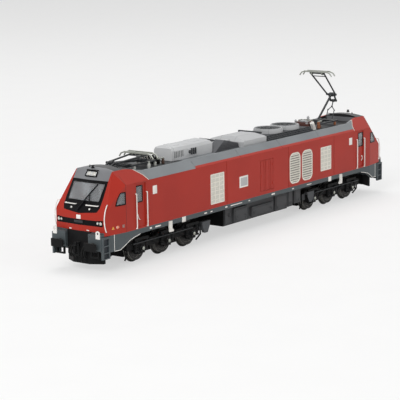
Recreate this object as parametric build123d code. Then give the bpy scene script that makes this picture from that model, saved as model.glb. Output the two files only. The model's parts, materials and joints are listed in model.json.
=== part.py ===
from build123d import *
import os
from math import atan2, cos, degrees, hypot, radians, sin, tan

# Six-axle dual-mode locomotive, an H0 scale model (1:87).  Millimetres.
# +X points at the front cab, +Y at its left side, +Z up.
# The origin is below the middle of the model, at the bottom of the wheel flanges.

os.makedirs("parts", exist_ok=True)

# ---------------------------------------------------------------- driving sizes
flange_depth = 1.1
rail = flange_depth                  # height of the rail heads above the origin

length_over_buffers = 261.4
body_width = 33.4
wall = 1.2                           # moulded body shell
buffer_spacing = 20.1
buffer_height = rail + 12.2
buffer_length = 2.7                  # from the beam to the buffer's face
nose_setback = 1.7                   # of the red nose behind the front of the beam
cab_length = 32.0

# running gear
axle_spacing = 20.2
wheel_tread_diameter = 12.3
wheel_back_to_back = 14.4
wheel_width = 2.8
flange_width = 0.8
axle_diameter = 2.0
axle_running_clearance = 0.05

# heights of the body's lines
sill_bottom = rail + 14.6
sill_top = rail + 16.9
shoulder_foot = rail + 39.1          # where the side wall meets the roof slope
shoulder_top = rail + 43.2
deck_height = rail + 42.4            # flat roof between the shoulders

buffer_face_x = length_over_buffers / 2
headstock_x = buffer_face_x - buffer_length
nose_x = headstock_x - nose_setback
cab_joint_x = nose_x - cab_length    # where the cab meets the body
bogie_centre = cab_joint_x - 18.1     # pivot to the middle of the model
half_width = body_width / 2
shoulder_half_width = half_width - (shoulder_top - shoulder_foot)
rim_width = 0.8                      # raised edge of the roof deck
deck_half_width = shoulder_half_width - 2 * rim_width


drawn_cab_joint = 94.3               # the cab joint for which along() is given its places


# ---------------------------------------------------------------- small helpers
def along(x):
    """A place on the body, kept in proportion when the body is made longer or shorter."""
    return x * cab_joint_x / drawn_cab_joint


def block(x0, x1, y0, y1, z0, z1):
    """A box between two corners."""
    size = (abs(x1 - x0), abs(y1 - y0), abs(z1 - z0))
    return Pos((x0 + x1) / 2, (y0 + y1) / 2, (z0 + z1) / 2) * Box(*size)


def prism_xz(points, y0, y1):
    """An (x, z) outline given a thickness along Y."""
    face = make_face(Polyline(*[(x, y0, z) for x, z in points], close=True))
    return extrude(face, amount=y1 - y0, dir=(0, 1, 0))


def prism_yz(points, x0, x1):
    """A (y, z) outline given a thickness along X."""
    face = make_face(Polyline(*[(x0, y, z) for y, z in points], close=True))
    return extrude(face, amount=x1 - x0, dir=(1, 0, 0))


def prism_xy(points, z0, z1):
    """An (x, y) outline given a thickness along Z."""
    face = make_face(Polyline(*[(x, y, z0) for x, y in points], close=True))
    return extrude(face, amount=z1 - z0, dir=(0, 0, 1))


def tube_x(x0, x1, y, z, diameter):
    """A round bar along X."""
    return Pos((x0 + x1) / 2, y, z) * Rot(0, 90, 0) * Cylinder(diameter / 2, abs(x1 - x0))


def tube_y(y0, y1, x, z, diameter):
    """A round bar along Y."""
    return Pos(x, (y0 + y1) / 2, z) * Rot(90, 0, 0) * Cylinder(diameter / 2, abs(y1 - y0))


def tube_z(z0, z1, x, y, diameter):
    """A round bar along Z."""
    return Pos(x, y, (z0 + z1) / 2) * Cylinder(diameter / 2, abs(z1 - z0))


def rod(start, end, diameter):
    """A round bar between two points."""
    line = Line(start, end)
    return sweep(Plane(origin=start, z_dir=line % 0) * Circle(diameter / 2), path=line)


def link(start, end, width, y0, y1):
    """A flat bar between two (x, z) points, lying in the plane of the arms."""
    along_x, along_z = end[0] - start[0], end[1] - start[1]
    half = width / 2 / hypot(along_x, along_z)
    side_x, side_z = -along_z * half, along_x * half
    outline = [(start[0] + side_x, start[1] + side_z), (end[0] + side_x, end[1] + side_z),
               (end[0] - side_x, end[1] - side_z), (start[0] - side_x, start[1] - side_z)]
    return prism_xz(outline, y0, y1)


def trimmed(solid, first, second, third, inset=0.0):
    """What is left below a sloping plane through three points, moved inwards by the inset."""
    normal = (Vector(*second) - Vector(*first)).cross(Vector(*third) - Vector(*first)).normalized()
    if normal.Z < 0:
        normal = normal * -1
    cut = Plane(origin=Vector(*first) - normal * inset, z_dir=normal)
    return split(solid, bisect_by=cut, keep=Keep.BOTTOM)


def across(shape):
    """The same piece on the other side of the model's middle line."""
    return mirror(shape, about=Plane.XZ)


def both_sides(shape):
    """A piece and its twin on the other side."""
    return [shape, across(shape)]


def turned(shape):
    """The same piece at the rear end, turned half round."""
    return Rot(0, 0, 180) * shape


def both_ends(shapes):
    """Pieces of the front end and the same ones at the rear end."""
    return list(shapes) + [turned(shape) for shape in shapes]


def fused(shapes):
    """One solid out of overlapping or touching ones."""
    first, *rest = shapes
    return first.fuse(*rest).clean() if rest else first


def write(node, shapes):
    """Write one sub-part; solids that don't touch share the file."""
    solids = [solid for shape in shapes for solid in shape.solids()]
    export_step(Compound(children=solids) if len(solids) > 1 else solids[0],
                f"parts/{node}.step")


# ---------------------------------------------------------------- wheelsets
wheel_radius = wheel_tread_diameter / 2
axle_height = rail + wheel_radius
wheel_inner_y = wheel_back_to_back / 2
wheel_outer_y = wheel_inner_y + wheel_width
rim_thickness = 1.3
wheel_dish = 0.5                     # how far the web lies behind the rim's face
hub_diameter = 4.4


def wheel():
    """One wheel with its flange on the inner side, its web dished between rim and hub."""
    outline = [
        (0, wheel_inner_y),
        (wheel_radius + flange_depth - 0.2, wheel_inner_y),
        (wheel_radius + flange_depth, wheel_inner_y + 0.25),
        (wheel_radius + flange_depth, wheel_inner_y + 0.5),
        (wheel_radius, wheel_inner_y + flange_width),
        (wheel_radius, wheel_outer_y),
        (wheel_radius - rim_thickness, wheel_outer_y),
        (wheel_radius - rim_thickness - 0.3, wheel_outer_y - wheel_dish),
        (hub_diameter / 2 + 0.2, wheel_outer_y - wheel_dish),
        (hub_diameter / 2, wheel_outer_y),
        (0, wheel_outer_y),
    ]
    face = make_face(Polyline(*[(0, y, r) for r, y in outline], close=True))
    return revolve(face, axis=Axis.Y, revolution_arc=360)


def wheelset(x):
    """Axle and its two wheels, one body."""
    solid = wheel()
    shaft = tube_y(-wheel_inner_y - 0.5, wheel_inner_y + 0.5, 0, 0, axle_diameter)
    return Pos(x, 0, axle_height) * fused([solid, across(solid), shaft])


# ---------------------------------------------------------------- bogies
gearbox_half_width = 5.4
gearbox_half_length = axle_spacing + 4.8
gearbox_bottom = rail + 1.6
gearbox_top = rail + 12.0
side_frame_inner_y = wheel_outer_y + 0.6
side_frame_outer_y = side_frame_inner_y + 1.5
end_beam_depth = 2.0
bogie_half_length = axle_spacing + wheel_radius + flange_depth + 0.75 + end_beam_depth
pivot_pin_diameter = 6.0
pivot_clearance = 0.06
pivot_height = 2.4                   # how far the pin reaches into the bogie
bogie_top_gap = 0.5                  # between the bogie's top and the chassis

frame_high = rail + 11.4             # over each axle
frame_low = rail + 9.6               # between the axles
frame_under = rail + 6.1
pedestal_bottom = rail + 3.4
box_depth = 1.0                      # how far the axlebox stands out
box_cover_depth = 1.8
spring_diameter = 1.9
spring_offset = 3.9                  # from the axle, fore and aft
pipe_diameter = 0.8
shield_depth = 1.8
left_shield = -bogie_half_length - 0.7   # from the pivot
right_shield = -24.0


def gearbox():
    """Driven housing in the middle of a bogie, bored for its axles and its pivot pin."""
    body = block(-gearbox_half_length, gearbox_half_length,
                 -gearbox_half_width, gearbox_half_width, gearbox_bottom, gearbox_top)
    turret = tube_z(gearbox_top - 1, sill_bottom - bogie_top_gap, 0, 0, pivot_pin_diameter + 3)
    solid = fused([body, turret])
    for place in (-axle_spacing, 0, axle_spacing):
        solid -= tube_y(-gearbox_half_width - 1, gearbox_half_width + 1, place, axle_height,
                        axle_diameter + 2 * axle_running_clearance)
    solid -= tube_z(sill_bottom - bogie_top_gap - pivot_height - pivot_clearance, sill_bottom, 0, 0,
                    pivot_pin_diameter + 2 * pivot_clearance)
    return Pos(bogie_centre, 0, 0) * solid


def side_frame_outline():
    """Side view of the frame: high over each axle, with a pedestal down to each axlebox."""
    top = [(-bogie_half_length, frame_low)]
    bottom = [(bogie_half_length, frame_under)]
    for place in (-axle_spacing, 0, axle_spacing):
        top += [(place - 8.0, frame_low), (place - 5.5, frame_high),
                (place + 5.5, frame_high), (place + 8.0, frame_low)]
        bottom += [(4.8 - place, frame_under), (2.8 - place, pedestal_bottom),
                   (-2.8 - place, pedestal_bottom), (-4.8 - place, frame_under)]
    return top + [(bogie_half_length, frame_low)] + bottom + [(-bogie_half_length, frame_under)]


def axlebox(place):
    """Box, round cover and the two coil springs of one axle, on the left side."""
    out = side_frame_outer_y
    pieces = [block(place - 2.6, place + 2.6, out, out + box_depth, rail + 3.6, rail + 8.6),
              tube_y(out, out + box_cover_depth, place, axle_height, 3.6),
              tube_y(out, out + box_cover_depth + 0.4, place, axle_height, 2.0),
              block(place - 5.2, place + 5.2, out, out + 1.2, rail + 4.6, rail + 5.4),
              block(place - 5.2, place + 5.2, out, out + 1.2, rail + 10.2, frame_high)]
    for side in (-spring_offset, spring_offset):
        pieces.append(tube_z(rail + 5.0, rail + 10.6, place + side, out + 0.3, spring_diameter))
        for turn in range(4):
            pieces.append(tube_z(rail + 5.9 + 1.2 * turn, rail + 6.4 + 1.2 * turn, place + side,
                                 out + 0.3, spring_diameter + 0.5))
    return pieces


def sand_pipe(place, lean):
    """Pipe that drops from the frame towards the rail beside a wheel, on the left side."""
    knee = (place, side_frame_inner_y + 0.7, rail + 4.0)
    foot = (place + lean, wheel_outer_y - 0.8, rail + 1.0)
    return [rod((place, side_frame_inner_y + 0.7, frame_under + 0.5), knee, pipe_diameter),
            Pos(*knee) * Sphere(pipe_diameter / 2), rod(knee, foot, pipe_diameter)]


def shield(place):
    """Tapering plate over a sand box, on the left side."""
    outline = [(place - 3.5, rail + 10.5), (place + 3.5, rail + 10.5), (place + 3.0, rail + 8.0),
               (place + 1.2, rail + 4.7), (place - 1.2, rail + 4.7), (place - 3.0, rail + 8.0)]
    return prism_xz(outline, side_frame_outer_y, side_frame_outer_y + shield_depth)


def bogie_frame():
    """Side frames, end beams and the stubs that hold them to the gearbox, front bogie."""
    sides = []
    for shield_place in (left_shield, right_shield):
        details = []
        for place in (-axle_spacing, 0, axle_spacing):
            details += axlebox(place)
        for place in (-axle_spacing / 2, axle_spacing / 2):
            details.append(block(place - 1.7, place + 1.7, gearbox_half_width, side_frame_inner_y,
                                 rail + 6.6, rail + 9.0))
            details.append(rod((place - 3.2, side_frame_outer_y + 0.3, rail + 6.6),
                               (place + 3.2, side_frame_outer_y + 0.3, rail + 9.2), 1.0))
        for sign in (-1, 1):
            details += sand_pipe(sign * (bogie_half_length - 1.0), -1.0 * sign)
        plate = prism_xz(side_frame_outline(), side_frame_inner_y, side_frame_outer_y)
        sides.append(fused([plate, shield(shield_place)] + details))
    left, right = sides
    ends = [block(sign * (bogie_half_length - end_beam_depth), sign * bogie_half_length,
                  -side_frame_inner_y, side_frame_inner_y, rail + 6.4, rail + 9.4)
            for sign in (-1, 1)]
    return Pos(bogie_centre, 0, 0) * fused([left, across(right)] + ends)


# ---------------------------------------------------------------- chassis
chassis_half_length = nose_x - 9.3
chassis_half_width = half_width - 2.7
chassis_top = rail + 23.0


def chassis():
    """Cast block inside the body, with a pivot pin for each bogie."""
    body = block(-chassis_half_length, chassis_half_length, -chassis_half_width,
                 chassis_half_width, sill_bottom, chassis_top)
    pins = [tube_z(sill_bottom - bogie_top_gap - pivot_height, sill_bottom + 1,
                   sign * bogie_centre, 0, pivot_pin_diameter) for sign in (-1, 1)]
    return fused([body] + pins)


# ---------------------------------------------------------------- body sides
groove_width = 0.3
groove_depth = 0.25
pocket_depth = 0.5                   # of the grilles' seats in the wall
panel_joints = (along(31.1), along(-25.7), along(-71.9))    # upright joints of the left wall
roof_joints = (along(-58.6), along(-20.2), along(18.2), along(56.6))
door_ends = (along(-10.8), along(0.9))                      # service door in the left wall
door_bottom, door_top = rail + 18.9, rail + 35.0
door_bars = (along(-8.6), along(-7.0), along(-3.9), along(-2.3))
slat_height = 0.5

# grilles of the left wall: rear end, front end, bottom, top, column pitch, row pitch, corner radius
grilles = [
    (along(33.3), along(45.0), rail + 18.9, rail + 34.2, 3.8, 2.2, 0.4),
    (along(-37.5), along(-26.9), rail + 18.4, rail + 35.1, 10.6, 1.285, 3.4),
    (along(-49.6), along(-39.0), rail + 18.4, rail + 35.1, 10.6, 1.285, 3.4),
    (along(-69.0), along(-58.0), rail + 21.0, rail + 34.3, 3.8, 2.2, 0.4),
]


def rounded_panel(x0, x1, z0, z1, radius, y0, y1):
    """A plate in the side wall's plane with rounded corners."""
    plane = Plane(origin=((x0 + x1) / 2, y0, (z0 + z1) / 2), x_dir=(1, 0, 0), z_dir=(0, 1, 0))
    return extrude(plane * RectangleRounded(x1 - x0, z1 - z0, radius), amount=y1 - y0)


def grille_plate(x0, x1, z0, z1, radius, inset=0.0):
    """The flat seat of one grille, or a smaller plate inside it."""
    return rounded_panel(x0 + inset, x1 - inset, z0 + inset, z1 - inset, radius - inset,
                         half_width - pocket_depth, half_width)


def grille(x0, x1, z0, z1, column_pitch, row_pitch, radius):
    """One grille: a thin back, a frame around it, upright bars and level slats."""
    columns, rows = round((x1 - x0) / column_pitch), round((z1 - z0) / row_pitch)
    back = rounded_panel(x0, x1, z0, z1, radius, half_width - pocket_depth,
                         half_width - pocket_depth + 0.15)
    plate = grille_plate(x0, x1, z0, z1, radius)
    border = min(0.7, radius / 2 + 0.3)
    frame = plate - rounded_panel(x0 + border, x1 - border, z0 + border, z1 - border,
                                  max(radius - border, 0.1), half_width - pocket_depth, half_width)
    bars = []
    for number in range(1, columns):
        x = x0 + (x1 - x0) * number / columns
        bars.append(block(x - 0.3, x + 0.3, half_width - pocket_depth, half_width - 0.05, z0, z1))
    for number in range(1, rows):
        z = z0 + (z1 - z0) * number / rows
        bars.append(block(x0, x1, half_width - pocket_depth, half_width - 0.1,
                          z - slat_height / 2, z + slat_height / 2))
    grid = fused(bars) & plate
    return fused([back, frame] + grid.solids())


def body_side():
    """Left wall between the cabs, with its joints, its service door and seats for the grilles."""
    solid = block(-cab_joint_x, cab_joint_x, half_width - wall, half_width, sill_top, shoulder_foot)
    outside = half_width - groove_depth
    half_groove = groove_width / 2
    cuts = [block(x - half_groove, x + half_groove, outside, half_width + 1, sill_top - 1,
                  shoulder_foot + 1) for x in panel_joints]
    cuts += [block(x - half_groove, x + half_groove, outside, half_width + 1, door_bottom, door_top)
             for x in door_ends + door_bars]
    cuts += [block(door_ends[0] - half_groove, door_ends[1] + half_groove, outside, half_width + 1,
                   z - half_groove, z + half_groove) for z in (door_bottom, door_top)]
    cuts += [grille_plate(x0, x1, z0, z1, radius) for x0, x1, z0, z1, _, _, radius in grilles]
    for cut in cuts:
        solid -= cut
    return solid


def sill():
    """Left sole bar, below the wall."""
    return block(-cab_joint_x, cab_joint_x, chassis_half_width, half_width, sill_bottom, sill_top)


def roof_shell():
    """Sloped shoulders, the rim above them and the flat deck between, with its joints."""
    edge = shoulder_half_width - rim_width
    left = [(half_width, shoulder_foot), (shoulder_half_width, shoulder_top),
            (edge, shoulder_top), (deck_half_width, deck_height)]
    right = [(-y, z) for y, z in reversed(left)]
    under = [(-half_width + wall, shoulder_foot),
             (-half_width + wall + deck_height - wall - shoulder_foot, deck_height - wall)]
    under += [(-y, z) for y, z in reversed(under)]
    solid = prism_yz(left + right + under, -cab_joint_x, cab_joint_x)
    inner = [(half_width - groove_depth, shoulder_foot - 1),
             (half_width - groove_depth, shoulder_foot),
             (shoulder_half_width - groove_depth, shoulder_top - 0.1),
             (shoulder_half_width - groove_depth, shoulder_top - groove_depth)]
    inner += [(-y, z) for y, z in reversed(inner)]
    for x in roof_joints:
        ring = block(x - groove_width / 2, x + groove_width / 2, -half_width - 1, half_width + 1,
                     shoulder_foot - 1, shoulder_top + 1)
        solid -= ring - prism_yz(inner, x - 1, x + 1) - block(x - 1, x + 1, -edge, edge, 0, shoulder_top + 2)
    return solid


# ---------------------------------------------------------------- cabs
front_slant = 4.0                    # degrees that each half of the nose is swept back
crease_x = nose_x - 14.8             # where the cab side starts to narrow
crease_radius = 5.0
nose_half_width = half_width - 1.8
nose_corner_x = nose_x - 1.4
nose_corner_radius = 1.0
lip_height = rail + 18.4             # lower edge of the nose
headstock_depth = 5.8
headstock_plate = 3.3                # thickness of the beam's cross plate
headstock_half_width = nose_half_width - 0.4
headstock_bottom = rail + 9.0
knee_height = rail + 26.6            # where the nose turns into the raked front
knee_radius = 1.5
rake = 0.6056                        # how far the front leans back per millimetre of height
visor_height = rail + 41.0
brow_height = rail + 43.3            # top of the visor
cap_height = rail + 46.6
cap_half_width = half_width - 6.1
crown_radius = 40.8
recess_end = nose_x - 19.6           # back of the cap; the folded pantograph lies behind it
door_pocket_depth = 0.45
door_pocket = (nose_x - 29.4, nose_x - 22.2, rail + 17.5, rail + 38.3)


def front_x(y, z):
    """Where the nose's surface lies at a distance y from the middle and a height z."""
    return nose_x - max(z - knee_height, 0) * rake - abs(y) * tan(radians(front_slant))


def shrunk(points, inset):
    """A closed outline as a face, moved inwards by the inset."""
    face = make_face(Polyline(*points, close=True))
    return offset(face, amount=-inset, kind=Kind.INTERSECTION) if inset else face


def cab_volume(inset=0.0):
    """The cab's outer form, or its inside when the walls are taken off."""
    back, below = cab_joint_x - 20, sill_top - 5
    brow_x = front_x(0, visor_height) - 1.5

    def at(x, z, backwards=1.0, down=0.0):
        """A point of the side view, moved inwards by its share of the inset."""
        return x - backwards * inset, 0, z - down * inset

    knee_start = at(nose_x, knee_height - knee_radius)
    knee_end = at(front_x(0, knee_height + knee_radius), knee_height + knee_radius)
    brow_start = at(brow_x, brow_height, 0.95, 0.3)
    crown_start = at(brow_x - 7.0, cap_height, 0.1, 1.0)
    side = Polyline(crown_start, (back, 0, crown_start[2]), (back, 0, below),
                    at(nose_x, below), knee_start)
    knee = ThreePointArc(knee_start, at(nose_x - 0.21, knee_height), knee_end)
    front = Polyline(knee_end, at(front_x(0, visor_height), visor_height), brow_start)
    brow = ThreePointArc(brow_start, at(brow_x - 1.9, brow_height + 2.2, 0.7, 0.7), crown_start)
    face = make_face([side, knee, front, brow])
    sweep_back = tan(radians(front_slant))
    half = extrude(face, amount=(half_width + 2) * hypot(1, sweep_back), dir=(-sweep_back, 1, 0))
    nose = fused([half, across(half)])

    corners = [(back, -half_width), (crease_x, -half_width), (nose_corner_x, -nose_half_width),
               (nose_x + 3, -nose_half_width + 4.4), (nose_x + 3, nose_half_width - 4.4),
               (nose_corner_x, nose_half_width), (crease_x, half_width), (back, half_width)]
    plan = shrunk([(x, y, below) for x, y in corners], inset)
    creases = [v for v in plan.vertices() if abs(v.X - crease_x) < 2 and abs(v.Y) > nose_half_width - inset]
    plan = fillet(creases, crease_radius)
    edges = [v for v in plan.vertices() if abs(v.X - nose_corner_x) < 2 + inset
             and abs(v.Y) > nose_half_width - inset - 1]
    plan = fillet(edges, nose_corner_radius)
    plan_solid = extrude(plan, amount=cap_height - below + 5, dir=(0, 0, 1))

    slope_top = half_width + shoulder_foot - cap_height - 1
    points = [(-half_width, below), (-half_width, shoulder_foot), (-slope_top, cap_height + 1),
              (slope_top, cap_height + 1), (half_width, shoulder_foot), (half_width, below)]
    section = shrunk([(back, y, z) for y, z in points], inset)
    section_solid = extrude(section, amount=nose_x + 5 - back, dir=(1, 0, 0))
    crown = Pos((back + nose_x) / 2, 0, cap_height - crown_radius) * Rot(0, 90, 0) * Cylinder(
        crown_radius - inset, nose_x - back + 10)
    solid = nose & plan_solid & section_solid & crown

    cheek = [(crease_x, half_width, shoulder_foot),
             (crease_x + 2.7, half_width - 5.7, shoulder_foot + 5.7),
             (nose_x - 4.5, half_width - 1.6, rail + 30.6)]
    solid = trimmed(solid, *cheek, inset)
    solid = trimmed(solid, *[(x, -y, z) for x, y, z in cheek], inset)
    return solid


# outlines on the nose as (y, height); the side windows as (x, height)
mask_half_width = nose_half_width - 3.8
glass_half_width = nose_half_width - 5.1
bar_half_width = nose_half_width - 1.0
mask_side = [(mask_half_width - 1.1, rail + 27.6), (mask_half_width - 0.1, rail + 29.6),
             (mask_half_width, rail + 33.0), (mask_half_width - 0.4, visor_height)]
mask_outline = [(0, rail + 26.6)] + mask_side + [(-y, z) for y, z in reversed(mask_side)]
glass_outline = [(0.3 - glass_half_width, rail + 31.9), (glass_half_width - 0.3, rail + 31.9),
                 (glass_half_width, rail + 39.9), (-glass_half_width, rail + 39.9)]
bar_side = [(bar_half_width, rail + 21.2), (bar_half_width, rail + 24.2),
            (bar_half_width - 4.5, rail + 23.8)]
lamp_bar_outline = bar_side + [(-y, z) for y, z in reversed(bar_side)]
side_window = [(nose_x - 14.3, rail + 30.1), (nose_x - 8.2, rail + 30.1),
               (nose_x - 9.3, rail + 33.0), (nose_x - 11.3, rail + 35.7),
               (nose_x - 14.3, rail + 35.7)]
door_window = [(nose_x - 27.2, rail + 29.6), (nose_x - 22.6, rail + 29.6),
               (nose_x - 22.6, rail + 37.1), (nose_x - 27.2, rail + 37.1)]


def cab_parts():
    """Shell, roof cap, mask, lamp bar and glass of the front cab."""
    solid = cab_volume()
    open_top = prism_xz([(0, shoulder_top + 0.1), (cab_joint_x, shoulder_top + 0.1),
                         (nose_x - 23.1, rail + 44.9), (recess_end, rail + 45.1),
                         (recess_end, cap_height + 2), (0, cap_height + 2)],
                        -half_width, half_width)
    recess = prism_xy([(0, -deck_half_width), (cab_joint_x, -deck_half_width),
                       (recess_end, 1.1 - cap_half_width), (recess_end, cap_half_width - 1.1),
                       (cab_joint_x, deck_half_width), (0, deck_half_width)],
                      deck_height, cap_height + 2)
    solid = solid - open_top - recess
    inside = cab_volume(wall)
    inside -= block(0, recess_end + wall, -half_width, half_width, deck_height - wall, cap_height + 1)
    hollow = solid - inside
    hollow = hollow & block(cab_joint_x, nose_x + 5, -half_width, half_width, sill_top, cap_height + 1)
    beam_x = headstock_x - headstock_depth
    hollow -= block(beam_x, nose_x + 5, -headstock_half_width, headstock_half_width, 0, lip_height)
    x0, x1, z0, z1 = door_pocket
    pocket = rounded_panel(x0, x1, z0, z1, 0.8, half_width - door_pocket_depth, half_width + 1)
    hollow = hollow - pocket - across(pocket)

    mask_zone = prism_yz(mask_outline, crease_x, nose_x + 5)
    bar_zone = prism_yz(lamp_bar_outline, crease_x, nose_x + 5)
    cap_zone = block(cab_joint_x, nose_x + 5, -cap_half_width, cap_half_width, visor_height,
                     cap_height + 2)
    cap_zone -= block(0, recess_end, -half_width, half_width, 0, cap_height + 2)
    glass_zone = prism_yz(glass_outline, crease_x, nose_x + 5)
    mask = hollow & mask_zone
    bar = hollow & bar_zone
    cap = hollow & cap_zone
    shell = hollow - mask_zone - cap_zone - bar_zone
    windscreen = mask & glass_zone
    mask = mask - glass_zone
    side_zone = [prism_xz(points, -half_width - 1, half_width + 1)
                 for points in (side_window, door_window)]
    panes = [shell & zone for zone in side_zone]
    for zone in side_zone:
        shell = shell - zone
    return shell, cap, mask, bar, windscreen, panes


def interior():
    """Floor, desk, seats and rear wall of the front cab, seen through its glass."""
    floor_top = chassis_top + 1.0
    seat_height = floor_top + 3.6
    back_x = cab_joint_x + 1.0
    desk = prism_xz([(nose_x - 11.0, floor_top - 0.5), (nose_x, floor_top - 0.5), (nose_x, rail + 29.0),
                     (nose_x - 6.0, rail + 30.6), (nose_x - 8.6, rail + 29.6), (nose_x - 8.6, floor_top + 2)],
                    -half_width, half_width)
    pieces = [block(back_x, nose_x, -half_width, half_width, chassis_top, floor_top), desk,
              block(back_x, back_x + 1.0, -half_width, half_width, chassis_top, rail + 39.5)]
    for y in (-6.0, 6.0):
        pieces.append(block(nose_x - 16.5, nose_x - 12.9, y - 1.6, y + 1.6, floor_top - 0.5, seat_height))
        pieces.append(block(nose_x - 17.3, nose_x - 16.2, y - 1.7, y + 1.7, seat_height - 1.0,
                            seat_height + 5.4))
        pieces.append(block(nose_x - 17.2, nose_x - 16.3, y - 0.9, y + 0.9, seat_height + 5.0,
                            seat_height + 7.0))
    return fused(pieces) & cab_volume(wall + 0.3)


# ---------------------------------------------------------------- lamps and rails of the nose
lamp_lift = 0.35                     # how far a lens stands out
upper_lamp_front = nose_x - 9.5


def headlamps(outside):
    """Two lenses each side on the lamp bar and two under the brow, front end."""
    lenses = []
    for side in (-1, 1):
        for y, width in ((bar_half_width - 2.9, 1.2), (bar_half_width - 1.15, 1.5)):
            place = Pos(front_x(y, 0), side * y, rail + 22.75) * Rot(0, 0, -side * front_slant)
            lenses.append(place * Box(2 * lamp_lift, width, 2.0) - outside)
        lenses.append(block(nose_x - 11.8, upper_lamp_front, side * 0.35, side * 2.5,
                            rail + 42.7, rail + 44.4) - outside)
    return lenses


rail_rod = 0.5                       # diameter of the handrails
rail_gap = 0.7                       # from the wall to the rail's middle


def handrail(points, outside):
    """A rail through the given points, its ends cut off where they meet the body."""
    pieces = [rod(start, end, rail_rod) for start, end in zip(points, points[1:])]
    pieces += [Pos(*corner) * Sphere(rail_rod / 2) for corner in points[1:-1]]
    return fused(pieces) - outside


def handrails(outside):
    """Rails beside the left cab door, below the left screen and at the left corner."""
    out = half_width + rail_gap
    rails = []
    for x, low, high in ((door_pocket[0] - 0.4, rail + 17.4, rail + 33.8),
                         (door_pocket[1] + 0.4, rail + 17.4, rail + 33.8)):
        rails.append(handrail([(x, half_width - 0.6, low), (x, out, low), (x, out, high),
                               (x, half_width - 0.6, high)], outside))
    z = rail + 30.4
    ends = [(front_x(y, z), y) for y in (3.2, glass_half_width)]
    (x0, y0), (x1, y1) = ends
    rails.append(handrail([(x0 - 1, y0, z), (x0 + rail_gap, y0, z), (x1 + rail_gap, y1, z),
                           (x1 - 1, y1, z)], outside))
    top, middle, low = (nose_x - 2.7, 31.1), (nose_x - 0.6, 24.8), (nose_x - 1.8, 18.9)
    y = nose_half_width + 0.2
    arc = ThreePointArc((top[0], y, rail + top[1]), (middle[0], y, rail + middle[1]),
                        (low[0], y, rail + low[1]))
    bow = sweep(Plane(origin=arc @ 0, z_dir=arc % 0) * Circle(rail_rod / 2), path=arc)
    feet = []
    for x, height in (top, low):
        feet.append(rod((x, y, rail + height), (x - 2.6, y - 1.6, rail + height), rail_rod))
        feet.append(Pos(x, y, rail + height) * Sphere(rail_rod / 2))
    rails.append(fused([bow] + feet) - outside)
    return rails


# ---------------------------------------------------------------- front underframe
arch_top = sill_bottom - 0.1
skirt_front = headstock_x - headstock_depth


def skirt():
    """Left front skirt below the cab, cut to clear the wheels."""
    arch = [(nose_x - 24.3, arch_top), (nose_x - 16.9, rail + 12.8), (nose_x - 10.5, headstock_bottom),
            (skirt_front, headstock_bottom), (skirt_front, sill_top), (cab_joint_x, sill_top),
            (cab_joint_x, arch_top)]
    front_y = nose_half_width + 0.3
    plan = [(cab_joint_x, half_width), (crease_x, half_width), (skirt_front, front_y),
            (skirt_front, front_y - 1.2), (chassis_half_length, chassis_half_width),
            (cab_joint_x, chassis_half_width)]
    return prism_xz(arch, 0, half_width + 1) & prism_xy(plan, 0, sill_top)


beam_box_half_gap = headstock_half_width - 7.5       # open middle between the beam's two boxes
beam_box_top = lip_height - 0.6
beam_box_bottom = buffer_height - 1.9
ladder_side = headstock_half_width
ladder_depth = 1.0
lug_thickness = 0.4


def headstock():
    """Front buffer beam: a cross plate and a box behind each buffer."""
    back = headstock_x - headstock_depth
    plate = block(back, back + headstock_plate, -headstock_half_width, headstock_half_width,
                  headstock_bottom, lip_height)
    box = block(back + headstock_plate, headstock_x, beam_box_half_gap, headstock_half_width,
                beam_box_bottom, beam_box_top)
    return fused([plate, box, across(box)])


def drawgear():
    """Dark plate in the middle of the beam with the draw hook, its screw link and two hoses."""
    back = headstock_x - headstock_depth + headstock_plate
    plate = block(back, back + 0.8, -beam_box_half_gap, beam_box_half_gap, headstock_bottom, lip_height)
    x, z = back + 0.8, buffer_height
    hook = prism_xz([(x - 0.5, z - 0.9), (x + 2.2, z - 0.9), (x + 3.0, z - 0.2), (x + 3.0, z + 1.3),
                     (x + 2.4, z + 1.3), (x + 2.1, z + 0.2), (x + 1.4, z + 0.2), (x + 1.2, z + 1.0),
                     (x - 0.5, z + 1.0)], -0.6, 0.6)
    link = [block(x + 1.7, x + 2.3, -1.5, 1.5, z - 0.5, z + 0.1)]
    link += [block(x + 1.7, x + 2.3, side - 0.3, side + 0.3, z - 5.4, z + 0.1) for side in (-1.2, 1.2)]
    link.append(block(x + 1.7, x + 2.3, -1.5, 1.5, z - 5.4, z - 4.8))
    hoses = []
    outer_hose, inner_hose = beam_box_half_gap - 2.2, beam_box_half_gap - 3.6
    for y in (-outer_hose, -inner_hose, inner_hose, outer_hose):
        corners = [(x - 0.4, y, z - 1.4), (x + 1.6, y, z - 1.8), (x + 2.2, y * 0.95, z - 4.2),
                   (x + 1.0, y * 0.9, z - 6.0)]
        hoses += [rod(start, end, 0.8) for start, end in zip(corners, corners[1:])]
        hoses += [Pos(*corner) * Sphere(0.4) for corner in corners[1:]]
        hoses.append(tube_x(x - 0.3, x + 0.9, y, z - 1.45, 1.2))
    return fused([plate, hook] + link + hoses)


def ladder():
    """Steps at the left end of the front beam, three recesses in a flat box."""
    x0, x1 = skirt_front + 0.2, headstock_x - 0.3
    y0, y1 = ladder_side, ladder_side + ladder_depth
    solid = block(x0, x1, y0, y1, rail + 6.2, rail + 16.6)
    for low, high in ((12.6, 15.7), (9.3, 12.2), (6.6, 8.9)):
        solid -= block(x0 + 0.7, x1 - 0.9, y0 + 0.35, y1 + 1, rail + low, rail + high)
    return solid


step_width = 5.0
step_bar = 0.7
step_bottom = rail + 6.6


def step_loop():
    """Bent step below the left front buffer."""
    x, y = headstock_x - 0.4, headstock_half_width - 1.5
    outer = block(x - 0.8, x + 0.2, y - step_width, y, step_bottom, beam_box_bottom)
    return outer - block(x - 1, x + 1, y - step_width + step_bar, y - step_bar,
                         step_bottom + step_bar, beam_box_bottom + 1)


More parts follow.
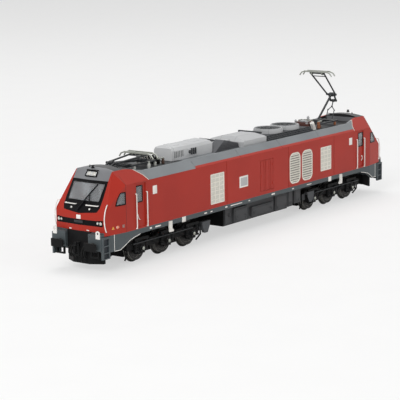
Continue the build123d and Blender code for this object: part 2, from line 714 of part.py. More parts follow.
def lifting_lug():
    """White eye plate on the face of the left front beam end."""
    y = headstock_half_width - 1.4
    plate = block(headstock_x, headstock_x + lug_thickness, y - 1.2, y + 1.2, rail + 16.0, rail + 18.6)
    eye = tube_x(headstock_x, headstock_x + lug_thickness, y, rail + 18.6, 2.4)
    return fused([plate, eye]) - tube_x(headstock_x - 1, headstock_x + 1, y, rail + 18.6, 1.1)


def lifting_bracket(x):
    """Pale jacking bracket that hangs from the left sole bar."""
    outline = [(x - 1.1, sill_top - 0.3), (x + 1.1, sill_top - 0.3), (x + 1.3, rail + 12.6),
               (x + 1.0, rail + 11.3), (x - 2.0, rail + 11.3), (x - 2.0, rail + 12.1),
               (x - 1.0, rail + 12.8)]
    return prism_xz(outline, half_width, half_width + 0.7)


# ---------------------------------------------------------------- buffers
buffer_head_width, buffer_head_height = 7.2, 3.8
buffer_head_thickness = 0.7
buffer_stem = buffer_length - buffer_head_thickness


def buffer():
    """Left front buffer: sleeve, plunger and rectangular head."""
    y = buffer_spacing / 2
    sleeve_end = headstock_x + 0.55 * buffer_stem
    sleeve = tube_x(headstock_x, sleeve_end, y, buffer_height, 3.4)
    plunger = tube_x(sleeve_end, headstock_x + buffer_stem, y, buffer_height, 2.4)
    head = block(headstock_x + buffer_stem, buffer_face_x, y - buffer_head_width / 2,
                                y + buffer_head_width / 2, buffer_height - buffer_head_height / 2,
                                buffer_height + buffer_head_height / 2)
    return fused([sleeve, plunger, head])


def plough():
    """Rail guard under the front buffer beam, with the two arms that carry it."""
    front, wing, thick = nose_x - 1.3, nose_x - 4.6, 1.3
    half, flat = headstock_half_width - 3.7, headstock_half_width - 9.5
    outline = [(wing, -half), (front, -flat), (front, flat), (wing, half),
               (wing - thick, half), (front - thick, flat), (front - thick, -flat), (wing - thick, -half)]
    blade = prism_xy(outline, rail + 2.7, headstock_bottom)
    ribs = [block(front - thick - 0.4, front + 0.35, y - 0.25, y + 0.25, rail + 3.0, headstock_bottom - 0.6)
            for y in (-3.0, 0.0, 3.0)]
    return fused([blade] + ribs)


# ---------------------------------------------------------------- underfloor
tank_half_length = bogie_centre - 48.2
tank_half_width = half_width - 3.5
tank_bottom = rail + 4.4

# boxes on the tank's left side: rear and front end as shares of its half length, bottom, top, depth
tank_cases = [
    (5 / 14, 11 / 14, rail + 5.4, rail + 13.0, 1.4),
    (-1 / 2, 3 / 14, rail + 6.3, rail + 11.2, 1.4),
    (-69 / 70, -33 / 56, rail + 5.2, rail + 13.6, 1.1),
]
# boxes behind the tank: distance from its end, length, bottom
hung_cases = [(0.6, 5.0, rail + 5.6), (7.2, 6.3, rail + 6.4)]
hung_case_inner_y = 4.0


def fuel_tank():
    """Tank between the bogies, hung from the chassis."""
    half = tank_half_width
    section = [(-half, tank_bottom + 1.5), (-half + 1.5, tank_bottom), (half - 1.5, tank_bottom),
               (half, tank_bottom + 1.5), (half, sill_bottom), (-half, sill_bottom)]
    return prism_yz(section, -tank_half_length, tank_half_length)


def underfloor_case(x0, x1, low, high, inner, outer):
    """One equipment box with a raised lid and two latches."""
    box = block(x0, x1, inner, outer, low, high)
    lid = block(x0 + 0.8, x1 - 0.8, outer, outer + 0.25, low + 0.8, high - 0.8)
    latches = [block(x - 0.3, x + 0.3, outer + 0.25, outer + 0.5, low + 1.2, low + 2.4)
               for x in (x0 + 2.0, x1 - 2.0)]
    return fused([box, lid] + latches)


def left_cases():
    """Equipment boxes on the tank's side and behind it."""
    cases = [underfloor_case(rear * tank_half_length, front * tank_half_length, low, high,
                             tank_half_width, tank_half_width + depth)
             for rear, front, low, high, depth in tank_cases]
    for gap, length, low in hung_cases:
        front = -tank_half_length - gap
        cases.append(underfloor_case(front - length, front, low, sill_bottom, hung_case_inner_y,
                                     chassis_half_width))
    return cases


# ---------------------------------------------------------------- roof equipment
pantograph_x = cab_joint_x - 13.3    # main pivot of the front pantograph
exhaust_ends = (along(28.0), pantograph_x - 19.2)
exhaust_half_width = 5.6
exhaust_top = rail + 49.4
intake_ends = (along(7.6), along(29.0))
intake_top = rail + 47.9
intake_inner_y, intake_outer_y = 2.2, 8.0
cooler_hood_ends = (along(-13.4), intake_ends[0] - 0.2)
cooler_hood_top = rail + 47.6
cooler_hood_side = rail + 45.8
hood_half_width = deck_half_width - 0.1
base_ends = (21.0 - pantograph_x, cooler_hood_ends[0])
base_length = base_ends[1] - base_ends[0]
base_top = rail + 45.1
base_side = rail + 43.3
fan_ring_diameter = base_length * 160 / 466
fan_opening_diameter = fan_ring_diameter - 2.0
fan_places = (base_ends[0] + 1.8 * fan_ring_diameter, base_ends[0] + 0.7875 * fan_ring_diameter)
fan_top = rail + 47.6
fan_running_gap = 0.1
blade_count = 9


def exhaust_hood():
    """Narrow rounded hood with a flat front and upright louvres in its sides."""
    rear, front = exhaust_ends
    side = prism_xz([(front, deck_height), (front, exhaust_top - 0.9), (front - 0.9, exhaust_top),
                     (rear + 2.5, exhaust_top), (rear, exhaust_top - 1.6), (rear, deck_height)],
                    -exhaust_half_width, exhaust_half_width)
    half = exhaust_half_width
    section = prism_yz([(-half, deck_height), (half, deck_height), (half, exhaust_top - 2.2),
                        (half - 0.7, exhaust_top - 0.7), (half - 2.4, exhaust_top),
                        (2.4 - half, exhaust_top), (0.7 - half, exhaust_top - 0.7),
                        (-half, exhaust_top - 2.2)], rear - 1, front + 1)
    solid = side & section
    for number in range(6):
        x = front - 2.6 - 1.3 * number
        solid -= both_cut(block(x - 0.35, x + 0.35, half - 0.5, half + 1, rail + 43.6, exhaust_top - 2.6))
    return solid


def both_cut(shape):
    """A cut on the left and its twin on the right as one shape."""
    return Compound(children=[shape, across(shape)])


def exhaust_grille():
    """Dark framed outlet in the left side of the exhaust hood, with a short pipe in front."""
    half = exhaust_half_width
    rear, front = exhaust_ends[1] - 19.4, exhaust_ends[1] - 13.0
    low, high = rail + 43.8, exhaust_top - 2.4
    frame = block(rear, front, half, half + 0.3, low, high)
    bars = [block(x - 0.3, x + 0.3, half + 0.3, half + 0.9, low, high)
            for x in (rear + 0.6, rear + 2.2, rear + 3.8)]
    pipe = tube_y(half + 0.3, half + 1.4, front - 1.1, high - 1.6, 1.8)
    return fused([frame, pipe] + bars)


def cooler_hood():
    """Light hood behind the intakes, low at its sides and high in the middle."""
    half = hood_half_width
    rear, front = cooler_hood_ends
    section = [(-half, deck_height), (half, deck_height), (half, cooler_hood_side),
               (4.5, cooler_hood_top), (-4.5, cooler_hood_top), (-half, cooler_hood_side)]
    side = prism_xz([(rear, deck_height), (front, deck_height), (front, rail + 45.2),
                     (front - 2.4, cooler_hood_top), (rear + 1.6, cooler_hood_top),
                     (rear, rail + 46.4)], -half, half)
    return prism_yz(section, rear, front) & side


def ridge():
    """Low step on the deck between the two hoods."""
    half = intake_inner_y - 0.2
    return block(cooler_hood_ends[1], exhaust_ends[0], -half, half, deck_height, rail + 46.0)


def intake():
    """Dark wedge-shaped air intake beside the ridge, left side, with level slats."""
    rear, front = intake_ends
    outline = [(rear, deck_height), (front, deck_height), (front - 8.3, intake_top),
               (rear + 1.0, rail + 45.0)]
    solid = prism_xz(outline, intake_inner_y, intake_outer_y)
    solid -= block(exhaust_ends[0] - 0.2, front + 1, 0, exhaust_half_width + 0.2, 0, exhaust_top)
    for number in range(4):
        z = rail + 43.4 + 0.8 * number
        solid -= block(0, front + 1, intake_outer_y - 0.3, intake_outer_y + 1, z, z + 0.35)
    return solid


def cooler_base():
    """Dark base of the fans, its sloping sides slatted."""
    half = hood_half_width
    rear, front = base_ends
    section = [(-half, deck_height), (half, deck_height), (half, base_side), (half - 2.4, base_top),
               (2.4 - half, base_top), (-half, base_side)]
    solid = prism_yz(section, rear, front)
    count = 18
    pitch = (front - rear) / count
    slots = []
    for number in range(count):
        x = rear + pitch * (number + 0.5)
        slot = prism_yz([(half + 1, base_side), (half - 0.4, base_side), (half - 2.6, base_top - 0.2),
                         (half - 2.6, base_top + 1), (half + 1, base_top + 1)], x - 0.5, x + 0.5)
        slots += both_sides(slot)
    return solid - Compound(children=slots)


def fan_ring(x):
    """Round fan housing on the cooler base."""
    ring = tube_z(base_top, fan_top, x, 0, fan_ring_diameter)
    ring -= tube_z(base_top, fan_top + 1, x, 0, fan_opening_diameter)
    return ring - (tube_z(fan_top - 0.5, fan_top + 1, x, 0, fan_ring_diameter + 1)
                   - tube_z(fan_top - 0.5, fan_top + 1, x, 0, fan_ring_diameter - 0.7))


def fan(x):
    """Hub and pitched blades low in the ring, resting on the base."""
    reach = fan_opening_diameter / 2 - fan_running_gap
    hub = tube_z(base_top, fan_top - 0.7, 0, 0, 4.6)
    hub_plate = tube_z(base_top, base_top + 0.3, 0, 0, 2 * reach)
    pieces = [hub, hub_plate]
    for number in range(blade_count):
        blade = Pos(reach / 2 + 0.6, 0, base_top + 1.0) * Rot(28, 0, 0) * Box(reach - 1.4, 2.6, 0.35)
        pieces.append(Rot(0, 0, 360 / blade_count * number) * blade)
    return Pos(x, 0, 0) * fused(pieces)


switch_case_front = 19.0 - pantograph_x
switch_case_length = 7.6
switch_case_sides = (-4.6, 5.4)
switch_case_top = rail + 46.0
switch_cover_inset = 1.0


def high_voltage_case():
    """Main switch case behind the fans, with its raised lid and its round cover."""
    front, rear = switch_case_front, switch_case_front - switch_case_length
    right, left = switch_case_sides
    inset = switch_cover_inset
    case = block(rear, front, right, left, deck_height, switch_case_top)
    lid = block(rear + inset, front - inset, right + 1.2 * inset, left - 1.2 * inset,
                switch_case_top, switch_case_top + 0.7)
    cover = tube_z(switch_case_top, switch_case_top + 1.4, (rear + front) / 2, (right + left) / 2, 4.0)
    return fused([case, lid, cover])


shed_thickness = 0.45


def ribbed_post(x, y, top, diameter):
    """Insulator with sheds, standing on the deck."""
    pieces = [tube_z(deck_height, top, x, y, diameter * 0.7)]
    z = deck_height + 0.35
    while z + shed_thickness < top - 0.2:
        pieces.append(tube_z(z, z + shed_thickness, x, y, diameter))
        z += 2 * shed_thickness
    return fused(pieces)


# roof insulators: x, y, top, diameter
outer_post_x, inner_post_x = 8.8 - pantograph_x, 9.6 - pantograph_x
front_post_x = pantograph_x - 11.0
side_post_x = pantograph_x + 2.5
rear_posts = [(outer_post_x, 6.4, rail + 46.2, 1.9), (outer_post_x, -6.4, rail + 46.2, 1.9),
              (inner_post_x, 2.0, rail + 46.8, 1.9), (inner_post_x, -2.0, rail + 46.8, 1.9)]
front_posts = [(front_post_x, 6.4, rail + 45.2, 1.9), (front_post_x, -6.4, rail + 45.2, 1.9)]
side_posts = [(side_post_x, 8.4, rail + 44.7, 1.8), (-side_post_x, -8.4, rail + 44.7, 1.8)]
bar_thickness = 0.5                  # of the conductors


def roof_insulators():
    """Ribbed posts that carry the roof conductors."""
    return [ribbed_post(*post) for post in rear_posts + front_posts + side_posts]


def roof_conductors():
    """Bare bars on top of the insulators."""
    bars = []
    for x, y, top, _ in rear_posts[:2] + front_posts:
        end_x = x - 2.6 if x < 0 else x + 4.2
        bars.append(block(min(x, end_x) - 0.4, max(x, end_x) + 0.4, y - 0.4, y + 0.4,
                          top, top + bar_thickness))
    x, y, top, _ = rear_posts[2]
    bars.append(block(x - 0.4, x + 0.4, -y - 1.0, y + 1.0, top, top + bar_thickness))
    for x, y, top, _ in side_posts:
        bars.append(tube_z(top, top + 0.9, x, y, 0.9))
    return bars


# ---------------------------------------------------------------- pantographs
arm_length = 20.4
pantograph_pivot_height = rail + 45.3
raised_angle = 41.7                  # of the lower arm above the level
folded_angle = 3.8
lower_arm_diameter = 1.2
upper_arm_diameter = 0.9
knee_shaft_diameter = 1.3
knee_shaft_half_length = 3.2
knee_hub_diameter = 2.4
knee_hub_half_width = 1.0
pivot_pin = 1.0
pin_clearance = 0.05
barrel_half_length = 2.4
top_shaft_half_length = 4.9
head_half_length = 10.5
head_strip_offset = 1.8              # each strip from the head's pivot, along X
tail_x, tail_z = 2.1, -3.7           # from the knee to the coupling rod's pin, arm raised
tail_plate_y = 1.35
rod_foot_height = rail + 44.2
rod_foot_half_width = 2.4
base_frame_bottom = rail + 44.2
base_frame_top = rail + 45.0
base_frame_half_width = 5.4


def pantograph_points(angle):
    """Pivot, knee, head pivot and tail pin of the front pantograph, as (x, z)."""
    low, high = radians(angle), radians(raised_angle - angle)
    knee = (pantograph_x + arm_length * cos(low), pantograph_pivot_height + arm_length * sin(low))
    top = (pantograph_x, knee[1] + arm_length * sin(low))
    end = (knee[0] + tail_x * cos(high) - tail_z * sin(high),
           knee[1] + tail_x * sin(high) + tail_z * cos(high))
    return (pantograph_x, pantograph_pivot_height), knee, top, end


def rod_foot():
    """Fixed pivot of the coupling rod: equally far from the tail pin, arm folded or raised."""
    x1, z1 = pantograph_points(raised_angle)[3]
    x2, z2 = pantograph_points(folded_angle)[3]
    middle_x, middle_z = (x1 + x2) / 2, (z1 + z2) / 2
    return middle_x - (rod_foot_height - middle_z) * (z2 - z1) / (x2 - x1), rod_foot_height


def lower_arm(angle):
    """Single lower tube with its barrel on the base pin and the hub of the knee."""
    pivot, knee, _, _ = pantograph_points(angle)
    tube = rod((pivot[0], 0, pivot[1]), (knee[0], 0, knee[1]), lower_arm_diameter)
    barrel = tube_y(-barrel_half_length, barrel_half_length, *pivot, pivot_pin + 1.0)
    hub = tube_y(-knee_hub_half_width, knee_hub_half_width, *knee, knee_hub_diameter)
    solid = fused([tube, barrel, hub])
    solid -= tube_y(-5, 5, *pivot, pivot_pin + 2 * pin_clearance)
    return solid - tube_y(-5, 5, *knee, knee_shaft_diameter + 2 * pin_clearance)


def upper_arm(angle):
    """Knee shaft, two diverging tubes, the top shaft and the tail with its pin."""
    _, knee, top, end = pantograph_points(angle)
    pieces = [tube_y(-knee_shaft_half_length, knee_shaft_half_length, *knee, knee_shaft_diameter),
              tube_y(-top_shaft_half_length, top_shaft_half_length, *top, upper_arm_diameter)]
    for sign in (-1, 1):
        foot = (knee[0], sign * (knee_shaft_half_length - 0.4), knee[1])
        tip = (top[0], sign * (top_shaft_half_length - 0.4), top[1])
        pieces.append(rod(foot, tip, upper_arm_diameter))
        y = sign * (tail_plate_y + 0.4)
        pieces.append(link(knee, end, 0.8, y - 0.35, y + 0.35))
        pieces.append(tube_y(y - 0.45, y + 0.45, *end, 1.3))
    share = 0.86
    bar_x, bar_z = knee[0] + share * (top[0] - knee[0]), knee[1] + share * (top[1] - knee[1])
    bar_y = knee_shaft_half_length - 0.4 + share * (top_shaft_half_length - knee_shaft_half_length)
    pieces.append(tube_y(-bar_y, bar_y, bar_x, bar_z, 0.5))
    return fused(pieces)


def head(angle):
    """Collector head: two contact strips with drooping horns, carried on the top shaft."""
    _, _, top, _ = pantograph_points(angle)
    strip_z = top[1] + 1.0
    flat, bend, droop = 7.4, 9.3, 2.3
    pieces = []
    for side in (-1, 1):
        x = top[0] + side * head_strip_offset
        pieces.append(block(x - 0.45, x + 0.45, -flat, flat, strip_z - 0.4, strip_z + 0.4))
        for end in (-1, 1):
            pieces.append(rod((x, end * (flat - 0.3), strip_z), (x, end * bend, strip_z - 0.7), 0.7))
            pieces.append(rod((x, end * bend, strip_z - 0.7),
                              (x, end * head_half_length, strip_z - droop), 0.7))
            pieces.append(Pos(x, end * bend, strip_z - 0.7) * Sphere(0.35))
    for side in (-1, 1):
        y = side * 3.4
        pieces.append(block(top[0] - head_strip_offset, top[0] + head_strip_offset,
                            y - 0.4, y + 0.4, strip_z - 0.4, strip_z))
        pieces.append(tube_y(y - 0.4, y + 0.4, *top, 1.9))
    solid = fused(pieces)
    return solid - tube_y(-6, 6, *top, upper_arm_diameter + 2 * pin_clearance)


def coupling_rod(angle):
    """Thin forked rod between the base and the tail of the upper arm."""
    _, _, _, end = pantograph_points(angle)
    foot = rod_foot()
    reach = hypot(end[0] - foot[0], end[1] - foot[1])
    fork, shoulder = 0.7 * reach, 0.525 * reach
    wide = rod_foot_half_width - 0.3
    pieces = [tube_y(-0.8, 0.8, reach, 0, 1.7), tube_x(fork, reach, 0, 0, 0.6),
              tube_y(-rod_foot_half_width, rod_foot_half_width, 0, 0, 1.6),
              tube_z(-0.35, 0.35, fork, 0, 0.9), tube_y(-wide, wide, 0.35 * reach, 0, 0.4)]
    for y in (-wide, wide):
        pieces += [rod((fork, 0, 0), (shoulder, y, 0), 0.5), tube_x(0, shoulder, y, 0, 0.5),
                   tube_z(-0.3, 0.3, shoulder, y, 0.7)]
    solid = fused(pieces) - tube_y(-3, 3, 0, 0, 0.8 + 2 * pin_clearance)
    slope = degrees(atan2(end[1] - foot[1], end[0] - foot[0]))
    return Pos(foot[0], 0, foot[1]) * Rot(0, -slope, 0) * solid


def pantograph_base():
    """Frame on four insulators, with the pins of the lower arm and of the coupling rod."""
    foot = rod_foot()
    x0, x1 = pantograph_x - 6.5, foot[0] + 0.8
    y = base_frame_half_width
    bars = [block(x0, x1, sign * y - 0.5, sign * y + 0.5, base_frame_bottom, base_frame_top)
            for sign in (-1, 1)]
    bars += [block(x - 0.5, x + 0.5, -y, y, base_frame_bottom, base_frame_top)
             for x in (x0 + 0.5, pantograph_x - 2.0, foot[0] - 2.1)]
    pieces = list(bars)
    for sign in (-1, 1):
        lug_y = sign * (barrel_half_length + 0.5)
        pieces.append(block(pantograph_x - 2.2, pantograph_x + 0.9, lug_y - 0.4, lug_y + 0.4,
                            base_frame_bottom, pantograph_pivot_height + 0.8))
        pieces.append(block(foot[0] - 2.6, foot[0] + 0.8, lug_y - 0.4, lug_y + 0.4,
                            rod_foot_height - 0.7, base_frame_top))
    pieces.append(tube_y(-barrel_half_length - 0.9, barrel_half_length + 0.9, pantograph_x,
                         pantograph_pivot_height, pivot_pin))
    pieces.append(tube_y(-barrel_half_length - 0.9, barrel_half_length + 0.9, *foot, 0.8))
    return fused(pieces)


def pantograph_insulators():
    """Four ribbed posts below the base frame."""
    foot = rod_foot()
    posts = []
    for x in (pantograph_x - 6.0, foot[0] - 2.1):
        for y in (-base_frame_half_width, base_frame_half_width):
            posts.append(tube_z(deck_height, base_frame_bottom, x, y, 1.7))
    return posts


# ---------------------------------------------------------------- writing the nodes
write("chassis_block", [chassis()])
write("body_side_left", [body_side()])
write("body_side_right", [turned(body_side())])
write("side_grilles", both_ends([grille(*row) for row in grilles]))
write("sills", both_sides(sill()))
write("roof_shell", [roof_shell()])

outside = cab_volume()
shell, cap, mask, bar, windscreen, panes = cab_parts()
for name, place in (("front", lambda shape: shape), ("rear", turned)):
    write(f"bogie_{name}_gearbox", [place(gearbox())])
    write(f"bogie_{name}_frame", [place(bogie_frame())])
    for number, offset_x in enumerate((axle_spacing, 0, -axle_spacing), start=1):
        write(f"wheelset_{name}_{number}", [place(wheelset(bogie_centre + offset_x))])
    write(f"cab_{name}_shell", [place(shell)])
    write(f"cab_{name}_cap", [place(cap)])
    write(f"cab_{name}_mask", [place(mask)])
write("lamp_bars", both_ends([bar]))
write("windscreens", both_ends([windscreen]))
write("side_windows", both_ends(panes))
write("cab_interiors", both_ends([interior()]))
write("headlamps", both_ends(headlamps(outside)))
rails = handrails(outside)
write("handrails", both_ends(rails + [across(shape) for shape in rails]))
write("skirts", both_ends(both_sides(skirt())))
write("headstocks", both_ends([headstock()]))
write("drawgear", both_ends([drawgear()]))
write("ladders", both_ends(both_sides(ladder())))
write("step_loops", both_ends(both_sides(step_loop())))
write("lifting_lugs", both_ends(both_sides(lifting_lug())
                                + both_sides(lifting_bracket(bogie_centre + 2.4))))
write("buffers", both_ends(both_sides(buffer())))
write("ploughs", both_ends([plough()]))

write("fuel_tank", [fuel_tank()])
write("underfloor_cases", both_ends(left_cases()))
write("exhaust_hood", [exhaust_hood()])
write("exhaust_grilles", both_sides(exhaust_grille()))
write("roof_ridge", [ridge()])
write("air_intakes", both_sides(intake()))
write("cooler_hood", [cooler_hood()])
write("cooler_base", [cooler_base()])
write("fan_rings", [fan_ring(x) for x in fan_places])
write("fans", [fan(x) for x in fan_places])
write("high_voltage_case", [high_voltage_case()])
write("roof_insulators", roof_insulators())
write("roof_conductors", roof_conductors())

for name, angle, place in (("front", folded_angle, lambda shape: shape),
                           ("rear", raised_angle, turned)):
    write(f"pantograph_{name}_base", [place(pantograph_base())])
    write(f"pantograph_{name}_lower", [place(lower_arm(angle))])
    write(f"pantograph_{name}_upper", [place(upper_arm(angle))])
    write(f"pantograph_{name}_head", [place(head(angle))])
    write(f"pantograph_{name}_rod", [place(coupling_rod(angle))])
write("pantograph_insulators", both_ends(pantograph_insulators()))
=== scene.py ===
# %% [markdown]
# A model locomotive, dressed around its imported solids
# The solids of the locomotive come first, as a fixed frame: every wheel, wall and arm has its
# real place there. This script adds the finishes, the fine pieces, the lights and the camera.

# %% Load the frame
import json
import math
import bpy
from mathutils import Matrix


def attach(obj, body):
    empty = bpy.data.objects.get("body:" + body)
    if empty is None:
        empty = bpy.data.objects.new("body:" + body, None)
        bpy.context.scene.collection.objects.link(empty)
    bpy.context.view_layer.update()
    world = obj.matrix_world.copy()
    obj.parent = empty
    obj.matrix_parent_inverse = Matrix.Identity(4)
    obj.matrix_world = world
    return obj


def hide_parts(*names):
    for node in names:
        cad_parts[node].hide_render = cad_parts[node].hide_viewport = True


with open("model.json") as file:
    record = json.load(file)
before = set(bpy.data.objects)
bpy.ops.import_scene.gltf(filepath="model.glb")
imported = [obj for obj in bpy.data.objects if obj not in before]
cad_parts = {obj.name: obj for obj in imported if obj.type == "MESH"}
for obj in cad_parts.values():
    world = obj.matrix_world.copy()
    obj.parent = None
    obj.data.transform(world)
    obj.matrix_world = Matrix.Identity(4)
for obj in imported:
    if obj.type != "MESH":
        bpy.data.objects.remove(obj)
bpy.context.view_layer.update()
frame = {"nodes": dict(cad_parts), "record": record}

from types import SimpleNamespace
import bpy
from mathutils import Matrix, Vector

MM = 0.001

# %% [markdown]
# The camera stands well to the front left of the model, a little above its roof, with a long
# lens that keeps the length of the train from looking stretched.

# %% Camera
camera_place = Vector((654.1, 462.3, 164.3)) * MM
camera_heading = math.radians(36.6)  # of the line of sight, from the model's length
camera_drop = math.radians(10.63)
camera_roll = math.radians(-0.86)
sight = Vector((-math.cos(camera_heading) * math.cos(camera_drop),
                -math.sin(camera_heading) * math.cos(camera_drop), -math.sin(camera_drop)))
camera = bpy.data.objects.new("camera", bpy.data.cameras.new("camera"))
bpy.context.scene.collection.objects.link(camera)
camera.data.lens = 138.5
camera.data.clip_start = 10 * MM
level = sight.to_track_quat("-Z", "Y").to_matrix().to_4x4()
camera.matrix_world = (Matrix.Translation(camera_place) @ level
                       @ Matrix.Rotation(camera_roll, 4, "Z"))
bpy.context.scene.camera = camera
print("camera at", [round(v, 3) for v in camera_place])

# %% [markdown]
# Materials are made of shader nodes. One small helper adds a node and wires or sets its inputs, one
# does a sum, and one blends two colours. An input gets a number or the output of an earlier node.
# An output knows its tree, so a sum or a blend lands in the tree of what it works on.

# %% Node helpers
def node(tree, kind, inputs=None, **settings):
    """Add a shader node; sockets in inputs are wired, other values are set."""
    made = tree.nodes.new("ShaderNode" + kind)
    for name, value in settings.items():
        setattr(made, name, value)
    for key, value in (inputs or {}).items():
        if isinstance(value, bpy.types.NodeSocket):
            tree.links.new(value, made.inputs[key])
        else:
            made.inputs[key].default_value = value
    return made


def sums(operation, *values):
    """The output of one Math node."""
    return node(values[0].id_data, "Math", dict(enumerate(values)), operation=operation).outputs[0]


def blend(share, first, second):
    """The first colour, turned into the second by the share."""
    return node(share.id_data, "Mix", {0: share, 6: first, 7: second}, data_type="RGBA").outputs[2]


def display(red, green, blue):
    """A colour given as screen values from 0 to 255, in the linear light that nodes use."""
    return tuple(((v / 255 + 0.055) / 1.055) ** 2.4 for v in (red, green, blue)) + (1.0,)


# %% [markdown]
# A plain white studio: a wide floor, a white surround and three large soft lamps. The surround
# lights the model only gently, but shows as full white to the camera and in reflections, which
# Light Path can tell apart. So paint keeps its own colour while the backdrop stays white.

# %% Floor
def added(operator, **settings):
    """A new primitive, with nothing else selected, because operators act on all that is."""
    bpy.ops.object.select_all(action="DESELECT")
    operator(**settings)
    return bpy.context.object


floor = added(bpy.ops.mesh.primitive_plane_add, size=6.0)
floor.name = "floor"
floor_material = bpy.data.materials.new("studio_floor")
floor_material.use_nodes = True
tree = floor_material.node_tree
paint = tree.nodes["Principled BSDF"]
paint.inputs["Roughness"].default_value = 0.9
floor_place = node(tree, "TexCoord").outputs["Object"]
speckle = node(tree, "TexNoise", {"Vector": floor_place, "Scale": 40.0})
tint = blend(speckle.outputs[0], display(238, 238, 237), display(244, 244, 243))
tree.links.new(tint, paint.inputs["Base Color"])
seen = sums("MULTIPLY", node(tree, "LightPath").outputs["Is Camera Ray"], 0.55)
glow = node(tree, "Emission", {"Color": (1, 1, 1, 1), "Strength": 1.0})
mixed = node(tree, "MixShader", {0: seen, 1: paint.outputs[0], 2: glow.outputs[0]})
tree.links.new(mixed.outputs[0], tree.nodes["Material Output"].inputs["Surface"])
floor.data.materials.append(floor_material)
print("floor", tuple(round(v, 2) for v in floor.dimensions))

# %% Surround
gentle = 0.38  # what the surround gives the model
world = bpy.data.worlds.new("studio_surround")
bpy.context.scene.world = world
world.use_nodes = True
tree = world.node_tree
ray = node(tree, "LightPath").outputs
mirrored = sums("MAXIMUM", ray["Is Glossy Ray"], ray["Is Transmission Ray"])
shown = sums("MAXIMUM", ray["Is Camera Ray"], mirrored)
strength = sums("MULTIPLY_ADD", shown, 1 - gentle, gentle)
tree.nodes["Background"].inputs["Color"].default_value = (1, 1, 1, 1)
tree.links.new(strength, tree.nodes["Background"].inputs["Strength"])
bpy.context.scene.view_settings.view_transform = "Standard"
print("surround gives the model a level of", gentle)

# %% Lamps
def lamp(name, place, size, power):
    """A square soft lamp that looks at the middle of the model; places in metres."""
    light = bpy.data.lights.new(name, "AREA")
    light.size = size
    light.energy = power
    holder = bpy.data.objects.new(name, light)
    bpy.context.scene.collection.objects.link(holder)
    holder.location = place
    aim = Vector((0, 0, 0.02)) - Vector(place)
    holder.rotation_euler = aim.to_track_quat("-Z", "Y").to_euler()
    holder.visible_transmission = False  # a lamp seen through a pane only adds specks
    return holder


lamps = [lamp("key", (1.2, 0.3, 0.8), 0.7, 10.0),
         lamp("fill", (-0.4, 1.4, 0.6), 0.9, 4.0),
         lamp("top", (-0.3, -0.4, 1.4), 1.0, 8.0)]
print("lamps:", [holder.name for holder in lamps])

# %% [markdown]
# Sprayed plastic is never one flat colour. Under a lens it shows a very slow drift of tone, a fine
# grain in its gloss, and a softly rounded edge on every corner. Each of these is a node group,
# built once: the paint below, and then the edges. A group puts out only colours, masks and values.

# %% Group: paint skin
def new_group(name, inputs, outputs):
    """An empty shader group with its sockets; inputs are (name, kind, value)."""
    group = bpy.data.node_groups.new(name, "ShaderNodeTree")
    for label, kind, value in inputs:
        socket = group.interface.new_socket(label, in_out="INPUT", socket_type=kind)
        socket.default_value = value
    for label, kind in outputs:
        group.interface.new_socket(label, in_out="OUTPUT", socket_type=kind)
    return (group, group.nodes.new("NodeGroupInput").outputs,
            group.nodes.new("NodeGroupOutput").inputs)


COLOUR, VALUE, VECTOR = "NodeSocketColor", "NodeSocketFloat", "NodeSocketVector"
paint_skin, given, out = new_group(
    "paint_skin",
    [("Colour", COLOUR, (0.5, 0.5, 0.5, 1)), ("Shade", COLOUR, (0.4, 0.4, 0.4, 1)),
     ("Roughness", VALUE, 0.4), ("Grain Scale", VALUE, 2500.0)],
    [("Colour", COLOUR), ("Roughness", VALUE), ("Height", VALUE)])
where = node(paint_skin, "TexCoord").outputs["Object"]
drift = node(paint_skin, "TexNoise", {"Vector": where, "Scale": 45.0, "Detail": 3.0}).outputs[0]
grain = node(paint_skin, "TexNoise", {"Vector": where, "Scale": given["Grain Scale"]}).outputs[0]
stretched = node(paint_skin, "MapRange", {"Value": drift, "From Min": 0.35, "From Max": 0.65})
toned = blend(stretched.outputs[0], given["Colour"], given["Shade"])
paint_skin.links.new(toned, out["Colour"])
uneven = sums("MULTIPLY_ADD", grain, 0.16, -0.08)
paint_skin.links.new(sums("ADD", given["Roughness"], uneven), out["Roughness"])
paint_skin.links.new(grain, out["Height"])
print("group", paint_skin.name, "with", len(paint_skin.nodes), "nodes")

# %% [markdown]
# Real mouldings have no knife edges. The Bevel node bends the shading normal near an edge, as if
# it were rounded, without touching the mesh. Where that bent normal leaves the true one, there
# is an edge, and that difference makes a mask for the pale wear that edges collect.

# %% Group: soft edges
soft_edges, given, out = new_group("soft_edges", [("Radius", VALUE, 0.0002)],
                                   [("Normal", VECTOR), ("Edge", VALUE)])
bent = node(soft_edges, "Bevel", {"Radius": given["Radius"]}, samples=4).outputs[0]
true_normal = node(soft_edges, "NewGeometry").outputs["Normal"]
agree = node(soft_edges, "VectorMath", {0: bent, 1: true_normal}, operation="DOT_PRODUCT")
edge = node(soft_edges, "MapRange",
            {"Value": agree.outputs["Value"], "From Min": 0.995, "From Max": 0.8}).outputs[0]
soft_edges.links.new(bent, out["Normal"])
soft_edges.links.new(edge, out["Edge"])
print("group", soft_edges.name, "with", len(soft_edges.nodes), "nodes")

# %% [markdown]
# The two groups meet in one helper. It gives a finish its paint, worn edges and fine bump, and
# hands back the tree, so that a finish with zones, such as the two-tone cab, can go on from there.

# %% Finish helper
finishes = {}


